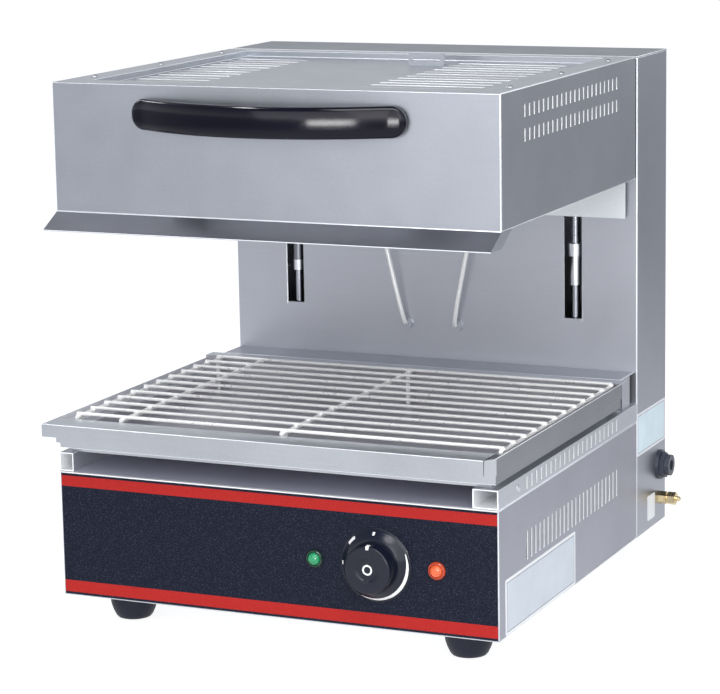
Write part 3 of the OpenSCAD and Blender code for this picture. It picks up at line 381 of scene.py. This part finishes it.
def eased(name, core=None, cut_axis=None, wall_area=60, bare_front=False, inside=None, ends=None,
          material=None, width=0.8):
    """A copy of a sheet with its long outer edges rounded and given pale steel, a painted highlight.

    core is a point that the sheet's inner faces look at, and is the sheet's own middle if it isn't given.
    cut_axis is the axis through a flat sheet: the walls of cuts along it, up to wall_area in square
    millimetres, are bare metal, made pale and unmetallic as a painted highlight. With bare_front, so is the
    sheet's front end. inside is the material of the faces that look at the core, and ends that of the faces
    that look to the left or right.
    """
    bm = cleaned(name)
    low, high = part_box(name)
    middle = core or (low + high) / 2

    def looks_in(face, place):
        if cut_axis is not None and abs(face.normal[cut_axis]) < ALONG:
            return False
        return face.normal.dot(place - middle) < 0

    ridges = []
    for edge in bm.edges:
        place = (edge.verts[0].co + edge.verts[1].co) / 2
        if len(edge.link_faces) != 2 or edge.calc_length() < LONG_EDGE * MM:
            continue
        if edge.calc_face_angle() < math.radians(SHARP_EDGE):
            continue
        if not any(looks_in(face, place) for face in edge.link_faces):
            ridges.append(edge)
    bevelled = bmesh.ops.bevel(bm, geom=ridges, offset=width * MM, segments=2, profile=0.5, affect="EDGES")
    for face in bm.faces:
        face.smooth = False
    # The rounded strips take the pale edge steel, a painted highlight
    for face in bevelled["faces"]:
        face.smooth = True
        face.material_index = 1
    across = [axis for axis in range(3) if axis != cut_axis]
    # Front ends and small cut walls take the pale cut finish: bare metal with a painted highlight
    for face in bm.faces:
        place = face.calc_center_median()
        is_wall = cut_axis is not None and abs(face.normal[cut_axis]) < ACROSS
        if bare_front and face.normal.y < -ALONG and place.y < low.y + RIM * MM:
            face.material_index = 2
        elif inside and looks_in(face, place):
            face.material_index = 3
        elif ends and abs(face.normal.x) > ALONG:
            face.material_index = 4
        elif is_wall and face.calc_area() < wall_area * MM * MM:
            if all(low[axis] + RIM * MM < place[axis] < high[axis] - RIM * MM for axis in across):
                face.material_index = 2
    sheet = material or materials[node_slot[name]]
    palette = (sheet, edge_highlight_steel, cut_metal_painted_light, inside or sheet, ends or sheet)
    return stand_in(mesh_object("eased_" + name, bm, *palette), name)


def repaint(piece, material, chosen):
    """Gives a piece's chosen faces another material."""
    piece.data.materials.append(material)
    for face in piece.data.polygons:
        if chosen(face):
            face.material_index = len(piece.data.materials) - 1


HOOD_CORE = at(0, 197, 463)
BASE_CORE = at(0, 195, 90)
COLUMN_CORE = at(0, 437, 280)
TRAY_CORE = at(0, 150, 197)
# Faces of the tray's left wall lie within this distance of its left end, in millimetres
TRAY_WALL = 5
# The walls of slots in the rails are smaller than this, in square millimetres
SLOT_WALL_AREA = 40

# Several panels below take toned copies of the steel in place of light and shade: painted shade on the lip,
# sides and column top, painted light and shade on the column front
hood_front = eased("hood_front_panel", HOOD_CORE)
# The lip faces of the front panel take the darker lip steel: painted shade
repaint(hood_front, lip_painted_shade, lambda face: 0.5 < face.normal.z < 0.95)
eased("hood_top", HOOD_CORE, cut_axis=2, wall_area=200, width=0.5)
for panel in ("hood_side_left", "hood_side_right"):
    eased(panel, HOOD_CORE, cut_axis=0, material=side_painted_shade)
for panel in ("base_side_left", "base_side_right"):
    eased(panel, BASE_CORE, cut_axis=0, material=base_side_painted_shade)
eased("base_bottom", BASE_CORE)
eased("column_front_plate", COLUMN_CORE, cut_axis=1, wall_area=400, material=column_steel_painted_light)
eased("column_top", COLUMN_CORE, material=cap_painted_shade)
eased("column_rear_cover", COLUMN_CORE)
for panel in ("column_side_left", "column_side_right"):
    eased(panel, COLUMN_CORE, material=side_painted_shade)
eased("carriage_plate", HOOD_CORE, material=plate_steel, width=0.6)
eased("rear_ledge", material=column_steel_painted_light, width=0.6)
# The tray's ends take a darker copy of its steel: painted shade
tray = eased("drip_tray", TRAY_CORE, inside=pan_steel, ends=tray_end_painted_shade, width=0.6)
# The faces of the tray's left end that look right take the pale edge steel, a painted highlight
tray_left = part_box("drip_tray")[0].x + TRAY_WALL * MM
repaint(tray, edge_highlight_steel, lambda face: face.normal.x > ALONG and face.center.x < tray_left)


def is_slot_wall(face):
    return abs(face.normal.x) < ACROSS and face.area < SLOT_WALL_AREA * MM * MM


for rail in ("rail_left", "rail_right"):
    # The rails' insides and slot walls take the pale cut finish: painted light inside the channels and
    # painted highlights on the slot walls
    piece = eased(rail, bare_front=True, inside=cut_metal_painted_light, material=rail_steel, width=0.6)
    repaint(piece, cut_metal_painted_light, is_slot_wall)
# The deck takes its painted-light steel, and its front end the pale cut finish as a painted highlight
eased("base_deck", bare_front=True, material=deck_painted_light)


# Rack: bright wires along X on duller bars, both near-white and mostly unmetallic so they read bright in the
# hood's shade: painted light

bm = cleaned("wire_rack")
for face in bm.faces:
    face.material_index = int(abs(face.normal.x) > 0.1)
stand_in(smooth(mesh_object("bright_rack", bm, materials["rack_wire"], rack_bar_painted_light), 40), "wire_rack")


# Turned and swept surfaces


def skin(bm, rings):
    """Joins rings of points into a tube with flat ends."""
    sides = len(rings[0])
    for first, second in zip(rings, rings[1:]):
        for k in range(sides):
            j = (k + 1) % sides
            bm.faces.new([first[k], first[j], second[j], second[k]])
    bm.faces.new(rings[0])
    bm.faces.new(rings[-1])


def lathe(bm, profile, centre, sides=48, upright=False):
    """Adds a turned surface.

    The profile has radii and distances from the centre, which go to the front or, if upright, up.
    """
    rings = []
    for radius, along in profile:
        turns = [2 * math.pi * i / sides for i in range(sides)] if radius else [0]
        ring = []
        for turn in turns:
            across, aside = radius * math.cos(turn), radius * math.sin(turn)
            offset = (across, aside, along) if upright else (across, -along, aside)
            ring.append(bm.verts.new(at(*(c + o for c, o in zip(centre, offset)))))
        rings.append(ring)
    for first, second in zip(rings, rings[1:]):
        for i in range(sides):
            j = (i + 1) % sides
            corners = [first[i % len(first)], first[j % len(first)]]
            corners += [second[j % len(second)], second[i % len(second)]]
            bm.faces.new(list(dict.fromkeys(corners)))
    bmesh.ops.remove_doubles(bm, verts=bm.verts, dist=1e-7)
    bmesh.ops.recalc_face_normals(bm, faces=bm.faces)


def quarter(radius, front, size, steps=6):
    """Profile points of a rounded front corner, from the side at this radius to the front face."""
    turns = [math.pi / 2 * i / steps for i in range(steps + 1)]
    return [(radius - size + size * math.cos(turn), front - size + size * math.sin(turn)) for turn in turns]


# Stop sleeves: bright tubes, of which the left one carries painted shade above its lower end

SLEEVE_END = 11

bm = cleaned("stop_sleeves")
band_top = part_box("stop_sleeves")[0] + Vector((0, 0, SLEEVE_END * MM))
whole = bm.verts[:] + bm.edges[:] + bm.faces[:]
bmesh.ops.bisect_plane(bm, geom=whole, plane_co=band_top, plane_no=(0, 0, 1))
# The left sleeve above its lower end takes the dark sleeve steel as painted shade, the rest the bright guide
# steel
for face in bm.faces:
    place = face.calc_center_median()
    face.material_index = int(place.x > 0 or place.z < band_top.z)
sleeves = mesh_object("shade_painted_sleeves", bm, sleeve_painted_shade, materials["guide_steel"])
stand_in(smooth(sleeves, 40), "stop_sleeves")


# Feet: rubber cups with a rounded lower edge

FOOT_PROFILE = [(0, 0), (13.5, 0), (16.2, 0.9), (18, 3), (20.4, 8), (22.4, 14), (23.2, 20), (23.5, 30),
                (0, 30)]
FOOT_PLACES = [(-176, 49), (176, 49), (-163, 435), (163, 435)]

bm = bmesh.new()
for x, y in FOOT_PLACES:
    lathe(bm, FOOT_PROFILE, (x, y, 0), upright=True)
stand_in(smooth(mesh_object("rounded_feet", bm, materials["foot_rubber"]), 40), "feet")


# Handle: a rounded bar along an arc, whose round ends lie on the hood's front

HANDLE_Z = 497
HANDLE_HALF = 138
HANDLE_END = 14.5
HANDLE_THICK = 13
ARC_RADIUS = 222.375
ARC_Y = 186.875
HOOD_FRONT = 12.5
END_DEPTH = 4
END_BLEND = 4
ROUNDNESS = 0.62
HANDLE_SIDES = 40
HANDLE_STEPS = 30
TIP_STEPS = 12
# The last ring of a tip lies this share of a step short of its point
TIP_SHORT = 0.3


def rounded(value):
    """A sine or cosine turned into one of a rounded rectangle."""
    return math.copysign(abs(value) ** ROUNDNESS, value)


def handle_depth(x):
    """How far the bar's middle line is from the hood's front. It follows the arc and is level at the ends."""
    arc = HOOD_FRONT - ARC_Y + math.sqrt(ARC_RADIUS ** 2 - x ** 2) - HANDLE_THICK / 2
    past = arc - END_DEPTH
    return END_DEPTH + (past + math.hypot(past, END_BLEND)) / 2


def handle_mesh():
    bm = bmesh.new()
    straight = HANDLE_HALF - HANDLE_END
    tips = []
    for i in range(TIP_STEPS):
        turn = math.pi / 2 * (i + 1) / (TIP_STEPS + TIP_SHORT)
        tips.append(straight + HANDLE_END * math.sin(turn))
    middle = [straight * i / HANDLE_STEPS for i in range(-HANDLE_STEPS, HANDLE_STEPS + 1)]
    stations = [-x for x in reversed(tips)] + middle + tips
    rings = []
    for x in stations:
        size = math.sqrt(1 - (max(0, abs(x) - straight) / HANDLE_END) ** 2)
        slope = handle_depth(x - 0.5) - handle_depth(x + 0.5)
        outward = Vector((slope, -1)).normalized()
        ring = []
        for k in range(HANDLE_SIDES):
            turn = 2 * math.pi * k / HANDLE_SIDES
            across = rounded(math.cos(turn)) * size * HANDLE_THICK / 2
            up = rounded(math.sin(turn)) * size * HANDLE_END
            y = min(HOOD_FRONT, HOOD_FRONT - handle_depth(x) + outward.y * across)
            ring.append(bm.verts.new(at(x + outward.x * across, y, HANDLE_Z + up)))
        rings.append(ring)
    skin(bm, rings)
    bmesh.ops.recalc_face_normals(bm, faces=bm.faces)
    return bm


handle = mesh_object("bowed_handle", handle_mesh(), materials["handle_plastic"])
stand_in(smooth(handle, 40), "hood_handle")


# Welds where the rack's wires lie on its bars

RACK_BARS = [-211.4, -163.5, 5.75, 222.9]
RACK_WIRES = 12
RACK_FIRST_WIRE = 17
RACK_PITCH = 296 / (RACK_WIRES - 1)
RACK_WELD_Z = 205
WELD_HALVES = (3.4, 2.6, 2.1)

shaker = random.Random(7)
bm = bmesh.new()
for x in RACK_BARS:
    for i in range(RACK_WIRES):
        place = at(x + shaker.uniform(-0.3, 0.3), RACK_FIRST_WIRE + i * RACK_PITCH, RACK_WELD_Z)
        size = [(half + shaker.uniform(-0.4, 0.4)) * MM for half in WELD_HALVES]
        matrix = Matrix.Translation(place) @ Matrix.Diagonal((*size, 1))
        bmesh.ops.create_icosphere(bm, subdivisions=2, radius=1, matrix=matrix)
on_node(smooth(mesh_object("rack_welds", bm, rack_bar_painted_light), 60), "wire_rack")


# Knob: a coned skirt with a printed scale, and a grip with a shallow round recess

KNOB = (105, 0, 91.5)
KNOB_SIDES = 96
SKIRT_EDGE = 35
SKIRT_NECK = 26
SKIRT_BACK = 0.6
SKIRT_FRONT = 8.6
GRIP_BACK_RADIUS = 23.7
GRIP_RADIUS = 22.5
GRIP_FRONT = 22.1
GRIP_ROUND = 1.6
RECESS = 20.9
MARK_LIFT = 0.1


def skirt_front(radius):
    """How far the coned face lies in front of the panel."""
    return SKIRT_BACK + (SKIRT_FRONT - SKIRT_BACK) * (SKIRT_EDGE - radius) / (SKIRT_EDGE - SKIRT_NECK)


skirt_edge = [(0, SKIRT_BACK), (34.4, SKIRT_BACK), (34.9, 1.0)]
skirt_cone = [(radius, skirt_front(radius)) for radius in (34.3, 32, 29, 26.8)]
skirt_top = [(25.6, SKIRT_FRONT), (23, SKIRT_FRONT), (0, SKIRT_FRONT)]
bm = bmesh.new()
lathe(bm, skirt_edge + skirt_cone + skirt_top, KNOB, KNOB_SIDES)
stand_in(smooth(mesh_object("turned_skirt", bm, materials["knob_plastic"]), 30), "knob_skirt")

grip_side = [(0, SKIRT_FRONT), (GRIP_BACK_RADIUS, SKIRT_FRONT)]
grip_corner = quarter(GRIP_RADIUS, GRIP_FRONT, GRIP_ROUND)
grip_recess = [(11.2, GRIP_FRONT), (10.8, GRIP_FRONT - 0.2), (10.2, GRIP_FRONT - 1.0), (9.6, RECESS),
               (0, RECESS)]
bm = bmesh.new()
lathe(bm, grip_side + grip_corner + grip_recess, KNOB, KNOB_SIDES)
stand_in(smooth(mesh_object("turned_grip", bm, materials["knob_plastic"]), 30), "knob_grip")


def on_dial(bm, radius, angle, front):
    """Adds a point of a printed mark at a clock angle in degrees, just in front of the dial's surface."""
    turn = math.radians(angle)
    offset = (radius * math.sin(turn), -front - MARK_LIFT, radius * math.cos(turn))
    return bm.verts.new(at(*(c + o for c, o in zip(KNOB, offset))))


def mark(bm, first, last, reach, front, steps):
    """A printed mark between two clock angles in degrees.

    reach gives its inner and outer radius at a share of its length, and front its distance from the panel.
    """
    rows = []
    for i in range(steps + 1):
        angle = first + (last - first) * i / steps
        rows.append([on_dial(bm, radius, angle, front(radius)) for radius in reach(i / steps)])
    for first_row, second_row in zip(rows, rows[1:]):
        bm.faces.new([first_row[0], first_row[1], second_row[1], second_row[0]])


def pointer(bm, first, last, profile):
    """A printed mark between two clock angles in degrees, along a turned profile over the grip's edge."""
    rows = []
    for radius, front in profile:
        rows.append([on_dial(bm, radius + MARK_LIFT, angle, front) for angle in (first, last)])
    for first_row, second_row in zip(rows, rows[1:]):
        bm.faces.new([first_row[0], second_row[0], second_row[1], first_row[1]])


def crescent(share):
    """Inner and outer radius of the scale's long mark, which tapers to its ends."""
    width = 2.7 * math.sin(math.pi * min(1, share * 0.97 + 0.02)) ** 0.7
    return 33 - width, 33


bm = bmesh.new()
mark(bm, 66, 205, crescent, skirt_front, 48)
mark(bm, -2.2, 2.2, lambda share: (28.9, 31.6), skirt_front, 6)
mark(bm, -54, -38, lambda share: (30.2, 32.8), skirt_front, 8)
mark(bm, -93, -87, lambda share: (31.4, 33.2), skirt_front, 4)
pointer(bm, -2.5, 6, [(19.2, GRIP_FRONT)] + grip_corner[::-1] + [(22.8, GRIP_FRONT - 5)])
mark(bm, 0, 360, lambda share: (3.3, 4.9), lambda radius: RECESS, 48)
on_node(mesh_object("knob_marks", bm, mark_white), "knob_skirt")


# Lamps: a domed lens in a rounded rim

LAMP_Z = 91.5
RIM_PROFILE = [(0, -20), (6.8, -20), (6.8, 0), (8.4, 0), (8.5, 1.2), (8.2, 2.2), (7.4, 2.9), (6.7, 2.9),
               (6.1, 2.2), (6.0, 1.5), (0, 1.5)]
LENS_PROFILE = [(0, 1.0), (5.9, 1.0), (5.9, 2.6), (5.4, 3.9), (4.4, 4.9), (3.0, 5.6), (1.5, 5.95), (0, 6.0)]

rims = []
for name, x, rim in (("green", 43, green_rim), ("orange", 165, orange_rim)):
    bm = bmesh.new()
    lathe(bm, RIM_PROFILE, (x, 0, LAMP_Z))
    rims.append(smooth(mesh_object(name + "_lamp_rim", bm, rim), 40))
    bm = bmesh.new()
    lathe(bm, LENS_PROFILE, (x, 0, LAMP_Z))
    lens = name + "_lens"
    stand_in(smooth(mesh_object("domed_" + lens, bm, materials[lens]), 40), lens)
for rim in rims:
    stand_in(rim, "lamp_holders")


# Blank plates and labels on the right side, each a thin sheet with a rim

SIDE_X = 225
PLATE_THICK = 0.3


def outline(y0, y1, z0, z1, inset, corner):
    """Points of a rectangle with round corners, in the plane of the right side."""
    radius = max(0.2, corner - inset)
    points = []
    for y, z, start in ((y1, z1, 0), (y0, z1, 90), (y0, z0, 180), (y1, z0, 270)):
        centre_y = y - math.copysign(inset + radius, y - (y0 + y1) / 2)
        centre_z = z - math.copysign(inset + radius, z - (z0 + z1) / 2)
        for step in range(6):
            turn = math.radians(start + 90 * step / 5)
            points.append((centre_y + radius * math.cos(turn), centre_z + radius * math.sin(turn)))
    return points


def side_plate(name, node, box, insets, corner, *palette):
    """A thin plate on a node's right side. Its bands begin at the insets and take the materials in order."""
    bm = bmesh.new()
    rings = [[bm.verts.new(at(SIDE_X, y, z)) for y, z in outline(*box, 0, corner)]]
    for inset in insets:
        face = outline(*box, inset, corner)
        rings.append([bm.verts.new(at(SIDE_X + PLATE_THICK, y, z)) for y, z in face])
    for band, (first, second) in enumerate(zip(rings, rings[1:])):
        for i in range(len(first)):
            j = (i + 1) % len(first)
            bm.faces.new([first[i], first[j], second[j], second[i]]).material_index = max(0, band - 1)
    bm.faces.new(rings[-1]).material_index = len(insets) - 1
    bm.faces.new(list(reversed(rings[0])))
    bmesh.ops.recalc_face_normals(bm, faces=bm.faces)
    on_node(mesh_object(name, bm, *palette), node)


side_plate("blank_side_label", "base_side_right", (16, 202, 31, 84), (0, 3, 3.8), 2,
           label_white, label_line, label_field)
# The rating plate's rim takes the pale steel that carries the painted edge highlights
side_plate("blank_rating_plate", "column_side_right", (390, 481, 115, 159.5), (0, 2.4, 3.0), 1.5,
           edge_highlight_steel, label_line, plate_field)
side_plate("blank_sticker", "column_side_right", (425, 448, 39, 65), (0, 1.2), 1.5, label_white, label_white)


# Leads from the column to the hood

LEAD_RADIUS = 2.3
LEAD_SIDES = 16
LEAD_STEPS = 40
LEAD_FOOT_X = 28
LEAD_FOOT_Y = 385.5
LEAD_FOOT_Z = 240.5
LEAD_HEAD_X = 62
LEAD_HEAD_Y = 376.8
LEAD_HEAD_Z = 402


def lead_points(side):
    """Points along a lead: out of the column, up in a curve, and straight into the hood."""
    foot = Vector((side * LEAD_FOOT_X, LEAD_FOOT_Y, LEAD_FOOT_Z))
    curve_end = Vector((side * LEAD_HEAD_X, LEAD_HEAD_Y, LEAD_HEAD_Z - 4))
    pulls = [foot, foot + Vector((0, -7, 4)), curve_end - Vector((side * 25.5, 0, 116)), curve_end]
    points = [Vector((side * LEAD_FOOT_X, y, LEAD_FOOT_Z)) for y in (396, 391)]
    for i in range(LEAD_STEPS + 1):
        t = i / LEAD_STEPS
        weights = [(1 - t) ** 3, 3 * t * (1 - t) ** 2, 3 * t * t * (1 - t), t ** 3]
        points.append(sum((pull * weight for pull, weight in zip(pulls, weights)), Vector((0, 0, 0))))
    points.append(Vector((side * LEAD_HEAD_X, LEAD_HEAD_Y, LEAD_HEAD_Z)))
    return points


bm = bmesh.new()
for side in (-1, 1):
    points = lead_points(side)
    rings = []
    for i, point in enumerate(points):
        ahead = (points[min(i + 1, len(points) - 1)] - points[max(i - 1, 0)]).normalized()
        right = Vector((1, 0, 0))
        right = (right - ahead * right.dot(ahead)).normalized()
        up = ahead.cross(right)
        ring = []
        for k in range(LEAD_SIDES):
            turn = 2 * math.pi * k / LEAD_SIDES
            place = point + (right * math.cos(turn) + up * math.sin(turn)) * LEAD_RADIUS
            ring.append(bm.verts.new(at(*place)))
        rings.append(ring)
    skin(bm, rings)
bmesh.ops.recalc_face_normals(bm, faces=bm.faces)
leads = smooth(mesh_object("sleeved_leads", bm, materials["lead_sleeve"]), 50)
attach(leads, "base")
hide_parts("hood_leads")
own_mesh(leads)


# Camera, at the photograph's place, with a lens fitted to a frame of 720 by 694

CAMERA_PLACE = at(1093.4, -2224.2, 766.1)
CAMERA_AZIMUTH = 24.23
CAMERA_ELEVATION = 10.97
CAMERA_ROLL = -1.02


def look(azimuth, elevation, roll):
    """A camera's turn that looks along +Y at azimuth 0, and down by the elevation."""
    a, e, r = (math.radians(angle) for angle in (azimuth, elevation, roll))
    ahead = Vector((-math.sin(a) * math.cos(e), math.cos(a) * math.cos(e), -math.sin(e)))
    level = Vector((math.cos(a), math.sin(a), 0))
    upright = level.cross(ahead)
    right = level * math.cos(r) + upright * math.sin(r)
    up = upright * math.cos(r) - level * math.sin(r)
    return Matrix((right, up, -ahead)).transposed()


camera_data = bpy.data.cameras.new("camera")
camera_data.sensor_width = 36
camera_data.lens = 137.69
camera_data.clip_end = 50
camera = bpy.data.objects.new("camera", camera_data)
bpy.context.scene.collection.objects.link(camera)
facing = look(CAMERA_AZIMUTH, CAMERA_ELEVATION, CAMERA_ROLL)
camera.matrix_world = Matrix.Translation(CAMERA_PLACE) @ facing.to_4x4()
bpy.context.scene.camera = camera


# Floor and light


def floor_material():
    """Pale floor that the camera sees as white, with the object's shadow still on it.

    In mirrors it is white near the object and falls to grey further out, as a studio's paper does.
    """
    material = bpy.data.materials.new("floor")
    material.use_nodes = True
    tree = material.node_tree
    tree.nodes.clear()
    output = tree.nodes.new("ShaderNodeOutputMaterial")
    path = tree.nodes.new("ShaderNodeLightPath")
    matt = tree.nodes.new("ShaderNodeBsdfDiffuse")
    matt.inputs["Color"].default_value = (0.82, 0.82, 0.82, 1)
    shadowed = tree.nodes.new("ShaderNodeBsdfDiffuse")
    shadowed.inputs["Color"].default_value = (0.45, 0.45, 0.45, 1)
    white = tree.nodes.new("ShaderNodeEmission")
    white.inputs["Color"].default_value = (1, 1, 1, 1)
    white.inputs["Strength"].default_value = 0.84
    seen = tree.nodes.new("ShaderNodeAddShader")
    tree.links.new(shadowed.outputs[0], seen.inputs[0])
    tree.links.new(white.outputs[0], seen.inputs[1])
    coordinates = tree.nodes.new("ShaderNodeTexCoord")
    away = tree.nodes.new("ShaderNodeVectorMath")
    away.operation = "LENGTH"
    centre = tree.nodes.new("ShaderNodeMapping")
    centre.inputs["Location"].default_value = (-0.6, 0.7, 0)
    link(tree, coordinates, "Object", centre, "Vector")
    link(tree, centre, "Vector", away, 0)
    share = tree.nodes.new("ShaderNodeMapRange")
    share.inputs["From Min"].default_value = 0.7
    share.inputs["From Max"].default_value = 3.1
    link(tree, away, "Value", share, "Value")
    paper = ramp(tree, share, "Result", 0.0, 1.0, (0.96, 0.97, 1.0), (0.34, 0.35, 0.38))
    mirrored = tree.nodes.new("ShaderNodeEmission")
    link(tree, paper, "Color", mirrored, "Color")
    first = tree.nodes.new("ShaderNodeMixShader")
    link(tree, path, "Is Camera Ray", first, 0)
    tree.links.new(matt.outputs[0], first.inputs[1])
    tree.links.new(seen.outputs[0], first.inputs[2])
    second = tree.nodes.new("ShaderNodeMixShader")
    link(tree, path, "Is Glossy Ray", second, 0)
    tree.links.new(first.outputs[0], second.inputs[1])
    tree.links.new(mirrored.outputs[0], second.inputs[2])
    tree.links.new(second.outputs[0], output.inputs["Surface"])
    return material


bm = bmesh.new()
bmesh.ops.create_grid(bm, x_segments=1, y_segments=1, size=12)
floor = mesh_object("floor", bm, floor_material())

world = bpy.data.worlds.new("studio")
bpy.context.scene.world = world
world.use_nodes = True
tree = world.node_tree
background = tree.nodes["Background"]
coordinates = tree.nodes.new("ShaderNodeTexCoord")
axes = tree.nodes.new("ShaderNodeSeparateXYZ")
link(tree, coordinates, "Generated", axes, "Vector")
sky = tree.nodes.new("ShaderNodeValToRGB")
sky.color_ramp.elements[0].position = 0.03
sky.color_ramp.elements[0].color = (0.96, 0.98, 1.0, 1)
sky.color_ramp.elements[1].position = 0.85
sky.color_ramp.elements[1].color = (0.24, 0.25, 0.28, 1)
low_sky = sky.color_ramp.elements.new(0.30)
low_sky.color = (0.52, 0.54, 0.58, 1)
link(tree, axes, "Z", sky, "Fac")
path = tree.nodes.new("ShaderNodeLightPath")
pick = tree.nodes.new("ShaderNodeMix")
pick.data_type = "RGBA"
link(tree, path, "Is Camera Ray", pick, "Factor")
tree.links.new(sky.outputs["Color"], pick.inputs[6])
pick.inputs[7].default_value = (1, 1, 1, 1)
tree.links.new(pick.outputs[2], background.inputs["Color"])


def softbox(name, place, target, size, power):
    """A flat lamp at a place in metres that faces a target."""
    data = bpy.data.lights.new(name, "AREA")
    data.shape = "RECTANGLE"
    data.size, data.size_y = size
    data.energy = power
    lamp = bpy.data.objects.new(name, data)
    bpy.context.scene.collection.objects.link(lamp)
    lamp.location = place
    lamp.rotation_euler = (Vector(target) - Vector(place)).to_track_quat("-Z", "Y").to_euler()


softbox("key", (0.9, -1.3, 2.5), (0, 0, 0.2), (1.4, 1.1), 28)
softbox("fill", (1.9, -1.7, 1.35), (0, 0, 0.2), (2.4, 2.4), 21)
softbox("low", (0.64, -2.45, 0.28), (0, -0.2, 0.45), (0.9, 0.15), 12)
softbox("front", (0.35, -2.0, 0.95), (0, 0, 0.2), (2.4, 1.2), 13)
softbox("strip", (-0.75, -0.35, 2.0), (0, -0.2, 0.5), (0.5, 0.12), 9)
softbox("side_strip", (-1.7, 0.2, 1.45), (0, -0.2, 0.5), (0.12, 0.5), 5)

scene = bpy.context.scene
scene.view_settings.view_transform = "Standard"
